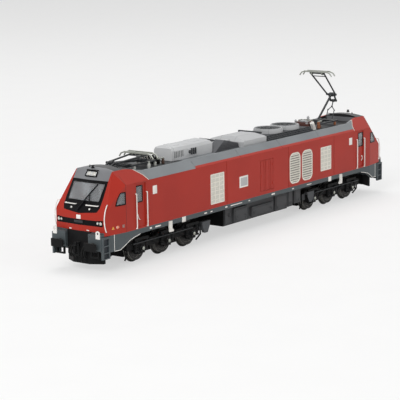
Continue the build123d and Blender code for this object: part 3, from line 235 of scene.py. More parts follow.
def finish(name, colour, shade, worn, roughness, wear=0.5, radius=0.2, metallic=0.0, coat=0.0,
           grain=0.15, gloss=0.3):
    """A layered finish, with the radius of its soft edges in mm. Returns its node tree."""
    material = bpy.data.materials.new(name)
    material.use_nodes = True
    tree = material.node_tree
    shader = tree.nodes["Principled BSDF"].inputs
    skin = node(tree, "Group", {"Colour": display(*colour), "Shade": display(*shade),
                                "Roughness": roughness}, node_tree=paint_skin).outputs
    edges = node(tree, "Group", {"Radius": radius * MM}, node_tree=soft_edges).outputs
    share = sums("MULTIPLY", edges["Edge"], wear)
    tree.links.new(blend(share, skin["Colour"], display(*worn)), shader["Base Color"])
    tree.links.new(skin["Roughness"], shader["Roughness"])
    bump = node(tree, "Bump", {"Height": skin["Height"], "Normal": edges["Normal"],
                               "Strength": grain, "Distance": 0.02 * MM})
    tree.links.new(bump.outputs[0], shader["Normal"])
    for socket, value in (("Metallic", metallic), ("Specular IOR Level", gloss),
                          ("Coat Weight", coat), ("Coat Roughness", 0.15)):
        shader[socket].default_value = value
    finishes[name] = material
    return tree


# %% [markdown]
# Most finishes differ only in their numbers: the main tone, the tone it drifts to, the tone of
# worn edges and the roughness, and then whatever sets one apart from a plain paint.

# %% Plain finishes
HOOD_GREY, ROOF_GREY, BODY_RED = (200, 201, 202), (128, 132, 135), (168, 42, 28)
finish("cap_grey", (124, 125, 128), (112, 113, 116), (150, 151, 154), 0.42, coat=0.05)
finish("mask_black", (10, 10, 12), (7, 7, 9), (52, 52, 56), 0.34, wear=0.35, radius=0.15, gloss=0.1)
finish("cab_inside", (112, 114, 116), (98, 100, 103), (140, 140, 140), 0.7, wear=0.3)
finish("white_trim", (238, 236, 232), (224, 221, 214), (255, 255, 252), 0.4, wear=0.3, radius=0.1,
       coat=0.1)
finish("sole_grey", (75, 82, 85), (69, 76, 79), (130, 138, 141), 0.5, wear=0.6)
finish("hood_grey", HOOD_GREY, (189, 190, 191), (232, 232, 232), 0.5, radius=0.25)
finish("dark_grey", (52, 54, 57), (42, 44, 47), (104, 106, 108), 0.55, wear=0.6, radius=0.15)
finish("cast_zinc", (70, 71, 73), (58, 59, 61), (120, 121, 122), 0.5, wear=0.6, metallic=0.6)
finish("bare_metal", (172, 174, 164), (146, 149, 142), (214, 215, 208), 0.38, wear=0.6, radius=0.12,
       metallic=0.45)
print("plain finishes:", len(finishes))

# %% [markdown]
# The next finishes have zones: two paints meet on one moulding, as when a body is masked and
# sprayed twice. A zone is a sum on the Object coordinates, turned into millimetres. Comparing
# one of them gives 0 or 1, and that mask picks the paint. Both sides of the model are the same
# turned half round, so a place on a side wall is measured towards that side's own front.

# %% Zones
flange_depth = 1.1  # the rails lie this far above the floor


def places(tree):
    """Millimetres along the model and above the rails, and what comes from them."""
    axes = node(tree, "SeparateXYZ", {0: node(tree, "TexCoord").outputs["Object"]}).outputs
    along, across, above_floor = (sums("MULTIPLY", axis, 1 / MM) for axis in axes)
    return SimpleNamespace(
        along=along, height=sums("SUBTRACT", above_floor, flange_depth),
        reach=sums("ABSOLUTE", along),  # from the middle to either end
        width=sums("ABSOLUTE", across),  # from the middle to either side
        forward=sums("MULTIPLY", along, sums("SIGN", across)))


def near(value, middle, half):
    """The zone no further than half from the middle."""
    return sums("COMPARE", value, middle, half)


def beyond(value, limit):
    """The zone where a value is above its limit."""
    return sums("GREATER_THAN", value, limit)


def within(value, limit):
    """The zone where a value is below its limit."""
    return sums("LESS_THAN", value, limit)


def slant(value, rise, start, level):
    """A straight line: it lies at the level at the start, and rises this much a millimetre."""
    return sums("MULTIPLY_ADD", value, rise, level - rise * start)


def shared(zone, *others):
    """The zone where all of these zones meet."""
    for other in others:
        zone = sums("MULTIPLY", zone, other)
    return zone


def over_paint(mask, colour):
    """Spray another colour over what the shader has, inside the mask."""
    tree = mask.id_data
    base = tree.nodes["Principled BSDF"].inputs["Base Color"]
    below = base.links[0].from_socket
    tree.links.new(blend(mask, below, display(*colour)), base)


# %% [markdown]
# The red shell. Its roof end is masked in grey: the joint starts at the cab's edge and leans
# towards the nose as it climbs the shoulder, with a thin pale line along it. The well behind
# the cab's cap, where a pantograph folds down, is painted near black as the shadow in it, and a
# thin dark line of painted shade marks the crease where the cab starts to narrow.

# %% Red body paint
crease_x, cab_joint_x = 111.5, 94.3  # where the cab starts to narrow, and its rear edge
shoulder_height, deck_height = 39.1, 42.4
tree = finish("body_red", BODY_RED, (160, 39, 26), (196, 80, 62), 0.4, wear=0.4, coat=0.03,
              gloss=0.22)
spot = places(tree)
joint = sums("MAXIMUM", slant(spot.height, 0.625, shoulder_height, cab_joint_x),
             slant(spot.height, 1.417, 41.5, cab_joint_x + 1.5))
on_roof = beyond(spot.height, shoulder_height)
over_paint(shared(on_roof, within(spot.reach, joint)), ROOF_GREY)
over_paint(shared(on_roof, near(spot.reach, joint, 0.22)), (214, 208, 196))
# Painted shadow: the well under the folded pantograph is near black.
well = shared(beyond(spot.height, deck_height - 0.1), within(spot.reach, 106.8),
              within(spot.width, slant(spot.reach, -0.121, cab_joint_x, 11.03)))
over_paint(well, (24, 24, 26))
# Painted shade: a thin dark line along the crease.
crease = shared(near(spot.reach, crease_x + 0.1, 0.13), within(spot.height, 43.2),
                beyond(spot.width, 10.0))
over_paint(crease, (104, 36, 32))
print("red paint nodes:", len(tree.nodes))

# %% [markdown]
# The roof is grey, but the red of the wall runs about a millimetre over the fold on most of each
# side, up to a slanting seam near the front of the left side and the rear of the right one. The
# sunken deck around each pantograph is darkened with painted shade.

# %% Grey roof paint
deck_half = 11.0
tree = finish("roof_grey", ROOF_GREY, (119, 123, 126), (160, 163, 165), 0.45)
spot = places(tree)
seam = slant(spot.height, -1.2, shoulder_height, 57.4)
wrapped = shared(within(spot.height, shoulder_height + 1.05), within(spot.forward, seam))
over_paint(wrapped, BODY_RED)
# Painted shade on the sunken deck around each pantograph.
deck_shade = shared(near(spot.height, deck_height, 0.3), within(spot.width, deck_half + 0.2),
                beyond(spot.reach, 57.0))
over_paint(deck_shade, (44, 46, 48))
print("roof paint nodes:", len(tree.nodes))

# %% [markdown]
# The grilles are cream. Their recessed backs are painted a little darker as shade, darker still in
# the two round-ended ones, where a dark band of painted shadow lies under each slat; it repeats
# with the slats, so the fraction of the height over the pitch picks it. The square ones are closed
# by a pale backing, so the painted shade shows there only as faint grey lines.

# %% Cream grilles
half_width = 16.7  # of the body
louvre_foot, louvre_pitch = 18.4, 1.2846
tree = finish("grille_cream", (238, 234, 224), (230, 226, 214), (250, 247, 240), 0.5, wear=0.4)
spot = places(tree)
# Painted shade: the recessed backs of all grilles a little darker.
behind = within(spot.width, half_width - 0.2)
over_paint(behind, (214, 212, 202))
# Painted shade: the backs of the round-ended grilles darker still.
louvred = shared(behind, beyond(spot.forward, -50.0), within(spot.forward, -26.0))
over_paint(louvred, (196, 193, 182))
# Painted shadow: a dark band just under each slat.
rows = sums("FRACT", slant(spot.height, 1 / louvre_pitch, louvre_foot, 0))
over_paint(shared(louvred, near(rows, 0.66, 0.17)), (58, 60, 56))
print("grille nodes:", len(tree.nodes))

# %% [markdown]
# Underneath, blackened castings catch a little pale dust on whatever faces up. The dust is a group
# too, since the bogies and the wheels both use it: it compares the normal with straight up, and
# breaks the layer with noise.

# %% Group: settled dust
settled_dust, given, out = new_group(
    "settled_dust", [("Colour", COLOUR, (0, 0, 0, 1)), ("Dust", COLOUR, (0.3, 0.28, 0.25, 1)),
                     ("Amount", VALUE, 0.3)], [("Colour", COLOUR)])
facing = node(settled_dust, "SeparateXYZ", {0: node(settled_dust, "NewGeometry").outputs["Normal"]})
where = node(settled_dust, "TexCoord").outputs["Object"]
patches = node(settled_dust, "TexNoise", {"Vector": where, "Scale": 260.0, "Detail": 4.0})
upward = sums("MAXIMUM", facing.outputs[2], 0.15)
broken = sums("MULTIPLY", upward, patches.outputs[0])
layer = sums("MULTIPLY", broken, given["Amount"])
settled_dust.links.new(blend(layer, given["Colour"], given["Dust"]), out["Colour"])


def add_dust(tree, amount):
    """Lay dust over what the shader has."""
    base = tree.nodes["Principled BSDF"].inputs["Base Color"]
    dust = node(tree, "Group", {"Colour": base.links[0].from_socket, "Amount": amount,
                                "Dust": display(150, 144, 134)}, node_tree=settled_dust)
    tree.links.new(dust.outputs[0], base)


print("group", settled_dust.name, "with", len(settled_dust.nodes), "nodes")

# %% [markdown]
# The bogies are black, and the cases beside the tank a dark grey. Two flat shields hang between
# each side's bogies and the tank, and are the palest of what is underneath.

# %% Running gear finishes
tree = finish("frame_black", (15, 16, 18), (10, 11, 13), (74, 76, 79), 0.5, wear=0.6, radius=0.15,
              gloss=0.1)
spot = places(tree)
over_paint(shared(within(spot.reach, 49.0), beyond(spot.width, 12.0)), (74, 75, 77))
shields = sums("MAXIMUM", shared(near(spot.forward, 46.2, 3.6), beyond(spot.width, 12.6)),
               shared(near(spot.forward, -52.2, 3.2), beyond(spot.width, 13.65)))
over_paint(shields, (84, 86, 89))
add_dust(tree, 0.14)
tree = finish("arm_metal", (54, 57, 60), (43, 46, 49), (108, 111, 113), 0.42, wear=0.7, radius=0.1,
              metallic=0.3)
add_dust(tree, 0.15)
print("running gear and arms finished")

# %% [markdown]
# A model wheel is blackened steel with a bright tread and flange, polished by the track. The tread
# is where the normal points away from the axle, so the sideways part of the normal tells face from
# tread, and metal replaces the dark coating there.

# %% Wheels
tree = finish("wheel_metal", (34, 33, 33), (26, 25, 25), (104, 102, 100), 0.45, wear=0.6,
              radius=0.12)
add_dust(tree, 0.2)
sideways = node(tree, "SeparateXYZ", {0: node(tree, "NewGeometry").outputs["Normal"]}).outputs[1]
round_part = within(sums("ABSOLUTE", sideways), 0.6)
tread = shared(round_part, beyond(places(tree).width, 7.0))
over_paint(tread, (172, 170, 166))
tree.links.new(tread, tree.nodes["Principled BSDF"].inputs["Metallic"])
print("wheel nodes:", len(tree.nodes))

# %% [markdown]
# Insulators are glazed brown ceramic, with painted shade in the grooves between their sheds, which
# repeat with the height. Those under the front pantograph are grey resin instead, as spare parts
# often are.
# The switch case has brown fittings on a dark body.

# %% Ceramic and switch case
tree = finish("insulator", (168, 104, 66), (146, 84, 52), (206, 150, 112), 0.25, wear=0.6,
              radius=0.1, coat=0.5)
spot = places(tree)
# Painted shade in the grooves between the sheds.
groove_shade = beyond(sums("FRACT", sums("MULTIPLY", spot.height, 1.1)), 0.6)
over_paint(sums("MULTIPLY", groove_shade, 0.35), (92, 50, 32))
front_posts = shared(beyond(spot.along, 72.0), within(spot.along, 95.0))
over_paint(front_posts, (196, 197, 192))
over_paint(near(spot.along, 70.0, 1.8), (78, 56, 44))
tree = finish("switch_brown", (84, 50, 44), (66, 40, 36), (134, 92, 82), 0.5, wear=0.6)
spot = places(tree)
over_paint(within(spot.height, 44.2), (46, 44, 46))
over_paint(beyond(spot.height, 46.75), (150, 152, 154))
print("ceramic and switch case done")

# %% [markdown]
# Some plain finishes get zones as well. The backs of the ladder's three recesses are darkened with
# painted shade, so the steps stand out. The rear half of each cap is painted black as shade,
# running on from the shadow in the well behind it, and the fan blades are a paler grey than the
# base they turn in. The outlet in the side of the exhaust hood is a pale frame with dark bars, the
# louvres cut in the hood are darkened with painted shade, and its seams and ribs only a shade
# darker.

# %% Roof equipment zones
tree = finishes["sole_grey"].node_tree
spot = places(tree)
# Painted shade on the backs of the ladder's recesses.
step_back_shade = shared(near(spot.reach, 124.95, 1.9), near(spot.width, 14.85, 0.1),
                    near(spot.height, 11.1, 4.75))
over_paint(step_back_shade, (34, 40, 46))
tree = finishes["cap_grey"].node_tree
spot = places(tree)
# Painted shade: the rear half of each cap is black, running on from the shadow in the well.
crown_shade = shared(within(spot.reach, 112.4), beyond(spot.height, 44.9))
over_paint(crown_shade, (26, 26, 28))
tree = finishes["dark_grey"].node_tree
spot = places(tree)
outlet = shared(near(spot.along, 45.6, 4.2), within(spot.width, 5.94), beyond(spot.height, 43.5))
over_paint(outlet, HOOD_GREY)
over_paint(near(spot.along, 18.3, 10.8), (78, 79, 82))
blades = shared(near(spot.along, -39.3, 16.0), within(spot.width, 7.4), beyond(spot.height, 45.15))
over_paint(blades, (136, 137, 139))
tree = finishes["hood_grey"].node_tree
spot = places(tree)
# Painted shade in the louvres cut in the hood.
louvres = shared(near(spot.along, 55.9, 4.4), within(spot.width, 5.4),
                 near(spot.height, 45.2, 1.64))
over_paint(louvres, (96, 97, 99))
seams = sums("MAXIMUM", *(near(spot.along, x, 0.12) for x in (59.9, -5.0)))
over_paint(sums("MULTIPLY", seams, 0.6), (120, 121, 123))
over_paint(within(spot.along, 22.0), (182, 183, 184))
ribs = shared(within(spot.along, 7.5), near(spot.width, 4.6, 0.1))
over_paint(sums("MULTIPLY", ribs, 0.5), (120, 121, 123))
print("roof equipment zones done")

# %% [markdown]
# Three small signs near each cab's lower corner have a colour of their own: a yellow one, an orange
# one and a grey one. They are zones of the white trim, picked by their place along the wall.

# %% Sign colours
sign_height = 20.1
tree = finishes["white_trim"].node_tree
spot = places(tree)
signs = shared(beyond(spot.width, 15.2), near(spot.height, sign_height, 0.95))
for x, half, colour in ((120.1, 1.1, (222, 168, 70)), (117.2, 0.45, (226, 120, 60)),
                        (113.6, 1.0, (150, 118, 112))):
    over_paint(shared(signs, near(spot.forward, x, half)), colour)
print("sign colour nodes:", len(tree.nodes))

# %% [markdown]
# The panes of a model are moulded clear plastic: a slight haze, a soft sheen of the bright room
# and a blue-grey cast. Transmission stays a plain number, and a little of the light is scattered
# by the base colour, which gives the milky look that thick model glazing has. A pane is flat and
# even, so it takes neither the uneven gloss nor the bent normal of the paints.

# %% Glazing and lamp lenses
pane_roughness = 0.24
tree = finish("window", (224, 227, 230), (216, 219, 223), (232, 234, 236), pane_roughness,
              wear=0.0, gloss=0.5)
shader = tree.nodes["Principled BSDF"].inputs
for socket in ("Roughness", "Normal"):
    tree.links.remove(shader[socket].links[0])
shader["Roughness"].default_value = pane_roughness
shader["Transmission Weight"].default_value = 0.84
shader["IOR"].default_value = 1.45
tree = finish("lamp_lens", (232, 230, 222), (222, 220, 212), (255, 255, 250), 0.12, wear=0.3,
              radius=0.1, coat=0.6, grain=0.0)
tree.nodes["Principled BSDF"].inputs["Transmission Weight"].default_value = 0.25
print("finishes:", len(finishes))

# %% [markdown]
# Every solid of the frame now gets the finish of its slot. The meshes of the frame stay as they
# are; only their material changes.

# %% Dress the frame
for part in frame["record"]["subparts"]:
    solid = frame["nodes"][part["node"]]
    solid.data.materials.clear()
    solid.data.materials.append(finishes[part["material_slot"]])
    for face in solid.data.polygons:
        face.material_index = 0
print("dressed", len(frame["nodes"]), "solids")

# %% [markdown]
# The fine pieces come next. They are modelled as by hand: a primitive is shaped in edit mode, its
# place goes into its mesh, and a small bevel takes its sharp edges off. Every place is given in
# millimetres, with the height above the rails.

# %% Part helpers
def at(x, y, z):
    """A place in metres, from millimetres along, across and above the rails."""
    return Vector((x, y, z + flange_depth)) * MM


def only(*parts):
    """Select these parts and nothing else, the first one active."""
    bpy.ops.object.select_all(action="DESELECT")
    for part in parts:
        part.select_set(True)
    bpy.context.view_layer.objects.active = parts[0]


def settle(part):
    """Put a part's place, turn and size into its mesh."""
    only(part)
    bpy.ops.object.transform_apply(location=True, rotation=True, scale=True)
    return part


def apply_bevel(part, width):
    """Round the sharp edges of a part; width in mm."""
    only(part)
    rounding = part.modifiers.new("rounding", "BEVEL")
    rounding.width = width * MM
    rounding.segments = 2
    rounding.limit_method = "ANGLE"
    bpy.ops.object.modifier_apply(modifier=rounding.name)
    return part


print("a part at the origin lies on the floor, the rails at", round(at(0, 0, 0).z / MM, 2), "mm")

# %% [markdown]
# What repeats is modelled once and copied, each copy with a mesh of its own. A matrix says where
# the copy goes: shifted, standing on a place, mirrored to the other side of the model, or turned
# half round to its other end, since both ends are alike.

# %% Copies
def copied(part, change):
    """A copy with a mesh of its own, moved by a matrix; a mirrored one is turned right side out."""
    twin = part.copy()
    twin.data = part.data.copy()
    bpy.context.scene.collection.objects.link(twin)
    twin.data.transform(change)
    if change.determinant() < 0:
        twin.data.flip_normals()
    return twin


HALF_TURN = Matrix.Rotation(math.pi, 4, "Z")
ACROSS = Matrix.Scale(-1, 4, (0, 1, 0))


def shift(x=0, y=0, z=0):
    """The matrix that moves a part by millimetres."""
    return Matrix.Translation(Vector((x, y, z)) * MM)


def facing(place, direction):
    """The matrix that stands an upright part on a place, turned to face a direction."""
    upright = Vector(direction).to_track_quat("Z", "Y").to_matrix().to_4x4()
    return Matrix.Translation(place) @ upright


def repeated(part, changes):
    """A copy of a part for each matrix; the part itself is taken away."""
    copies = [copied(part, change) for change in changes]
    bpy.data.objects.remove(part)
    return copies


def two_sides(parts):
    """The parts and their twins across the model."""
    return parts + [copied(part, ACROSS) for part in parts]


def two_ends(parts):
    """The parts and their copies turned half round, at the other end."""
    return parts + [copied(part, HALF_TURN) for part in parts]


print("copies: shift, facing, two_sides, two_ends")

# %% [markdown]
# The parts of a piece are joined, smoothed and given their finish. Then the piece is hung on a
# body, so that it rides along when a bogie or a pantograph moves.

# %% Hang a piece
SOFT_ANGLE = math.radians(35)  # faces that meet more sharply keep their edge


def hang(name, parts, slot, body="root"):
    """Join the parts to one piece, smooth it, finish it and hang it on a body."""
    only(*parts)
    if len(parts) > 1:
        bpy.ops.object.join()
    piece = parts[0]
    piece.name = piece.data.name = name
    bpy.ops.object.shade_smooth_by_angle(angle=SOFT_ANGLE)
    piece.data.materials.clear()
    piece.data.materials.append(finishes[slot])
    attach(piece, body)
    print(name, "faces:", len(piece.data.polygons))
    return piece


print("smooth where faces meet at less than", round(math.degrees(SOFT_ANGLE)), "degrees")

# %% [markdown]
# Nearly every piece is made of three kinds of parts: a box with rounded edges, a part turned as on
# a lathe, and a bent rod. A turned part starts as a disc, which is extruded and scaled ring by
# ring. A rod is a curve with a round section, turned into a mesh.

# %% Three ways to shape a part
def soft_box(low, high, rounding):
    """A box between two corners with rounded edges; corners in metres, rounding in mm."""
    low, high = Vector(low), Vector(high)
    part = added(bpy.ops.mesh.primitive_cube_add, size=1, location=(low + high) / 2)
    part.scale = [abs(v) for v in high - low]
    return apply_bevel(settle(part), rounding)


def turned(rings, foot=(0, 0, 0), direction=(0, 0, 1), sides=20):
    """A turned part; its rings are (radius, height) in mm, and it stands on its foot."""
    part = added(bpy.ops.mesh.primitive_circle_add, vertices=sides, radius=rings[0][0] * MM,
                 fill_type="NGON")
    bpy.ops.object.mode_set(mode="EDIT")
    bpy.ops.mesh.select_all(action="SELECT")
    for (radius, height), (next_radius, next_height) in zip(rings, rings[1:]):
        rise = (0, 0, (next_height - height) * MM)
        bpy.ops.mesh.extrude_region_move(TRANSFORM_OT_translate={"value": rise})
        bpy.ops.transform.resize(value=(next_radius / radius, next_radius / radius, 1))
    bpy.ops.mesh.select_all(action="SELECT")
    bpy.ops.mesh.normals_make_consistent(inside=False)
    bpy.ops.object.mode_set(mode="OBJECT")
    part.matrix_world = facing(foot, direction)
    return settle(part)


def bent_rod(points, diameter, smooth=False):
    """A round rod through the points, sharp or smoothly curved; diameter in mm."""
    curve = bpy.data.curves.new("rod", "CURVE")
    curve.dimensions = "3D"
    curve.bevel_depth = diameter / 2 * MM
    curve.bevel_resolution = 2
    curve.use_fill_caps = True
    line = curve.splines.new("NURBS" if smooth else "POLY")
    line.points.add(len(points) - 1)
    for point, place in zip(line.points, points):
        point.co = (*place, 1)
    if smooth:
        line.order_u = 3
        line.use_endpoint_u = True
    part = bpy.data.objects.new("rod", curve)
    bpy.context.scene.collection.objects.link(part)
    only(part)
    bpy.ops.object.convert(target="MESH")
    return bpy.context.object


print("shapes: soft_box, turned, bent_rod")

# %% [markdown]
# A window in a cab wall sits in a black rubber seal. The seal follows the window's corners: a
# disc with as many corners as the window is stretched over them, inset, and its middle taken out,
# so a flat ring is left, which gets a thickness and rounded edges.

# %% Window seals
def seal(corners, width, thickness):
    """A rubber ring just outside the corners of a window; sizes in mm."""
    part = added(bpy.ops.mesh.primitive_circle_add, vertices=len(corners), fill_type="NGON")
    for vertex, corner in zip(part.data.vertices, corners):
        vertex.co = corner
    bpy.ops.object.mode_set(mode="EDIT")
    bpy.ops.mesh.select_all(action="SELECT")
    bpy.ops.mesh.bevel(offset=0.5 * MM, segments=3, affect="VERTICES")
    bpy.ops.mesh.inset(thickness=width * MM)
    bpy.ops.mesh.delete(type="FACE")
    bpy.ops.object.mode_set(mode="OBJECT")
    only(part)
    depth = part.modifiers.new("depth", "SOLIDIFY")
    depth.thickness = thickness * MM
    depth.offset = 0
    bpy.ops.object.modifier_apply(modifier=depth.name)
    return apply_bevel(part, thickness / 4)


cab_narrowing = 1.8 / 13.4  # of the cab's side, for each millimetre past the crease
door_y = half_width - 0.45


def cab_side_y(x):
    """How far out the cab's side lies, narrowing from the crease to the nose."""
    return half_width - max(x - crease_x, 0) * cab_narrowing


side_window = [(111.8, 29.9), (118.5, 29.9), (117.3, 33.1), (115.2, 36.0), (111.8, 36.0)]
door_window = [(98.8, 29.3), (104.0, 29.3), (104.0, 37.4), (98.8, 37.4)]
seals = [seal([at(x, cab_side_y(x), z) for x, z in side_window], 0.5, 0.3),
         seal([at(x, door_y, z) for x, z in door_window], 0.45, 0.3)]
hang("window_seals", two_ends(two_sides(seals)), "mask_black")

# %% [markdown]
# The windscreen is raked and has a slight fold in the middle. Its seal has two extra corners on
# that fold, so it bends with the glass.

# %% Windscreen seals
nose_x, knee_height = 126.3, 26.6  # the front, which leans back above its knee
rake = 0.6056
sweep = math.tan(math.radians(4.0))  # from the middle of the front to its sides
outward = Vector((1, 0, rake)).normalized()


def on_front(y, z, out=0.0):
    """A place on the raked front, lifted off it by some millimetres."""
    x = nose_x - max(z - knee_height, 0) * rake - abs(y) * sweep
    return at(x, y, z) + outward * out * MM


screen = [(-9.7, 31.7), (0, 31.7), (9.7, 31.7), (10.0, 40.1), (0, 40.1), (-10.0, 40.1)]
screen_seal = seal([on_front(y, z) for y, z in screen], 0.5, 0.35)
hang("windscreen_seals", two_ends([screen_seal]), "mask_black")

# %% [markdown]
# Each windscreen has one long wiper. Its arm starts from a round spindle on the black panel below
# the glass, a thin link runs beside it, and the blade lies across the glass. The arm is a box
# whose far end is drawn in, so it tapers as a pressed steel arm does.

# %% Wipers
def flat_arm(start, end, widths, thickness):
    """A tapering flat arm between two places on the glass; widths and thickness in mm."""
    way = end - start
    part = soft_box((-0.5 * MM, -0.5 * MM, 0), (0.5 * MM, 0.5 * MM, way.length), 0.05)
    for vertex in part.data.vertices:
        share = min(max(vertex.co.z / way.length, 0), 1)
        vertex.co.x *= widths[0] + (widths[1] - widths[0]) * share
        vertex.co.y *= thickness
    part.data.transform(facing(start, way))
    return part


arm_foot, arm_bend, blade_tip = (-1.0, 28.1), (3.1, 34.4), (5.8, 39.3)
spindle = [(0.65, 0), (0.65, 0.5), (0.5, 0.7), (0.2, 0.75)]
wiper = [turned(spindle, on_front(*arm_foot), outward, 16),
         flat_arm(on_front(*arm_foot, 0.5), on_front(*arm_bend, 0.75), (0.75, 0.5), 0.3),
         flat_arm(on_front(0.6, 31.2, 0.45), on_front(*blade_tip, 0.45), (0.45, 0.35), 0.5),
         flat_arm(on_front(4.3, 31.6, 0.5), on_front(3.2, 35.2, 0.7), (0.55, 0.4), 0.3),
         turned([(0.5, 0), (0.5, 0.5), (0.2, 0.6)], on_front(4.3, 31.4), outward, 14)]
hang("wipers", two_ends(wiper), "mask_black")

# %% [markdown]
# A headlamp is a round glass set in a dark ring, both turned. Two more glasses lie in the slope of
# the cap, above the windscreen. The glasses take the place of the frame's plain lens blocks.

# %% Headlamps
brow_out, brow_up = Vector((0.805, 0, 0.593)), Vector((-0.593, 0, 0.805))


def on_brow(y, up, out=0.0):
    """A place on the slope above the windscreen, across and up from the middle of the top lamp."""
    return at(115.9, y, 43.55) + (brow_up * up + brow_out * out) * MM


lamp_height = 22.75
lamp_glasses, lamp_rings = [], []
for y, radius in ((11.0, 0.62), (12.75, 0.8)):
    glass = turned([(radius, 0), (radius, 0.35), (radius * 0.8, 0.5), (radius * 0.45, 0.58),
                    (radius * 0.1, 0.6)], sides=18)
    ring = turned([(radius + 0.22, 0), (radius + 0.22, 0.3), (radius + 0.1, 0.4), (radius, 0.4)],
                  sides=18)
    sockets = [facing(at(nose_x - y * sweep - 0.15, side * y, lamp_height), (1, side * sweep, 0))
               for side in (-1, 1)]
    lamp_glasses += repeated(glass, sockets)
    lamp_rings += repeated(ring, sockets)
top_glass = turned([(1.05, 0), (1.05, 0.3), (0.85, 0.45), (0.4, 0.52), (0.1, 0.54)])
lamp_glasses += repeated(top_glass, [facing(on_brow(y, 0), brow_out) for y in (-1.5, 1.5)])
lenses = hang("lamp_glasses", two_ends(lamp_glasses), "lamp_lens")
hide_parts("headlamps")
hang("lamp_rings", two_ends(lamp_rings), "mask_black")

# %% [markdown]
# Signs, number places and data plates stay bare. Each one is a small plate with rounded edges,
# from a table with its place along the wall, its height, and its size. The second table is for
# plates on the grey sole bar. The other side has the same plates, turned half round.

# %% Bare plates
wall_plates = [
    # along, height, length, height of the plate
    (89.9, 33.7, 3.2, 4.0), (-89.9, 33.7, 3.2, 4.0),
]
sole_plates = [
    (67.5, 15.5, 3.0, 2.6), (-67.5, 15.5, 3.0, 2.6), (88.0, 15.7, 4.2, 0.7), (93.6, 15.7, 1.6, 0.8),
    (31.9, 15.8, 1.8, 0.7), (44.6, 15.6, 1.6, 0.6), (49.6, 15.6, 2.2, 0.6),
    (23.0, 15.8, 10.0, 0.45), (-10.8, 15.8, 3.0, 0.8), (11.4, 15.8, 1.2, 0.6),
    (-46.0, 15.7, 4.6, 0.45), (-30.0, 15.7, 1.6, 0.6),
]


def on_wall(low, high, out, rounding):
    """A plate on the left wall, between two corners given along and up, standing out of it."""
    return soft_box(at(low[0], half_width - 0.1, low[1]), at(high[0], half_width + out, high[1]),
                    rounding)


plates = [on_wall((x - length / 2, z - tall / 2), (x + length / 2, z + tall / 2), 0.12, 0.08)
          for x, z, length, tall in wall_plates + sole_plates]
hang("bare_plates", two_ends(plates), "white_trim")

# %% [markdown]
# The nameplate in the middle of each wall has a raised grey field and no name. Each front has a
# blank plate too, with two short bars below it and two round covers under the glass.

# %% Nameplates and nose plates
blank = on_wall((12.4, 23.6), (20.0, 29.5), 0.14, 0.3)
hang("blank_nameplates", two_ends([blank]), "white_trim")
field = on_wall((13.2, 24.4), (19.2, 28.7), 0.26, 0.2)
hang("nameplate_fields", two_ends([field]), "hood_grey")
middle = soft_box(at(nose_x - 0.2, -1.3, 24.0), at(nose_x + 0.1, 1.3, 25.9), 0.1)
bar = soft_box(at(nose_x - 0.6, 4.6, 18.75), at(nose_x - 0.18, 6.0, 19.2), 0.06)
cover = turned([(0.45, 0), (0.45, 0.25), (0.3, 0.35)], on_front(5.5, 28.7), outward, 14)
hang("nose_plates", two_ends([middle] + two_sides([bar, cover])), "white_trim")

# %% [markdown]
# The front skirt is edged with a thin pale line that follows the arch over the first wheel, and a
# second line runs up it where the corner panel starts. Each is a fine rod, half sunk in the skirt.

# %% Skirt lines
skirt_corner = 119.4  # the pale corner line, along the model


def on_skirt(x, z):
    """A place on the skirt, which narrows from the crease to its front."""
    return at(x, half_width - max(x - crease_x, 0) * 1.5 / 10.7, z)


arch = [(101.6, 14.4), (102.4, 14.2), (106.0, 13.5), (109.4, 12.6), (112.6, 10.9), (115.8, 9.15),
        (skirt_corner, 9.1)]
arch_line = bent_rod([on_skirt(x, z) for x, z in arch], 0.32)
corner_line = bent_rod([on_skirt(skirt_corner, z) for z in (9.1, 17.0)], 0.26)
hang("skirt_lines", two_ends(two_sides([arch_line, corner_line])), "white_trim")

# %% [markdown]
# Cab doors have a lever handle beside the front rail, and the service door in the middle has two
# hinges and a flush handle.

# %% Door fittings
lever_x, lever_height = 102.9, 23.6
grip = [(lever_x, 0, lever_height), (lever_x, 0.5, lever_height), (102.6, 0.55, 21.6),
        (101.6, 0.5, 21.2)]
lever = [bent_rod([at(x, door_y + out, z) for x, out, z in grip], 0.35, smooth=True),
         turned([(0.45, 0), (0.45, 0.2), (0.3, 0.3)], at(lever_x, door_y - 0.05, lever_height),
                (0, 1, 0), 12)]
hang("cab_door_levers", two_ends(two_sides(lever)), "white_trim")
hinge = on_wall((-10.9, 21.4), (-10.2, 22.6), 0.25, 0.1)
flush = on_wall((-0.9, 26.0), (-0.1, 27.6), 0.18, 0.1)
hang("service_door_fittings", two_ends([hinge, copied(hinge, shift(z=9.8)), flush]), "body_red")

# %% [markdown]
# Near the cab's lower corner are three small signs: a triangle, which is a turned part with three
# sides, a disc and a square. A drip strip runs over each cab door.

# %% Cab corner plates
cab_wall = (cab_narrowing, 1, 0)
corner_plates = [
    turned([(0.95, 0), (0.95, 0.16), (0.85, 0.2)], at(120.1, cab_side_y(120.1) - 0.05, 19.9),
           cab_wall, 3),
    turned([(0.75, 0), (0.75, 0.16), (0.65, 0.2)], at(117.2, cab_side_y(117.2) - 0.05, 20.1),
           cab_wall),
    soft_box(at(112.9, cab_side_y(113.6) - 0.1, 19.4), at(114.3, cab_side_y(113.6) + 0.18, 20.8),
             0.06)]
hang("corner_plates", two_ends(corner_plates), "white_trim")
strip = bent_rod([at(96.4, half_width, 38.2), at(96.9, half_width + 0.1, 38.8),
                  at(104.1, half_width + 0.1, 38.8), at(104.6, half_width, 38.2)], 0.35)
hang("drip_strips", two_ends(two_sides([strip])), "body_red")

# %% [markdown]
# Each cooling fan has a wire guard: rings of thin wire, from tori, joined by spokes that run out to
# the housing, with a turned cap in the middle. It lies just under the rim of the fan ring. The
# spokes are one rod, copied round the middle, and the second guard is a copy of the first.

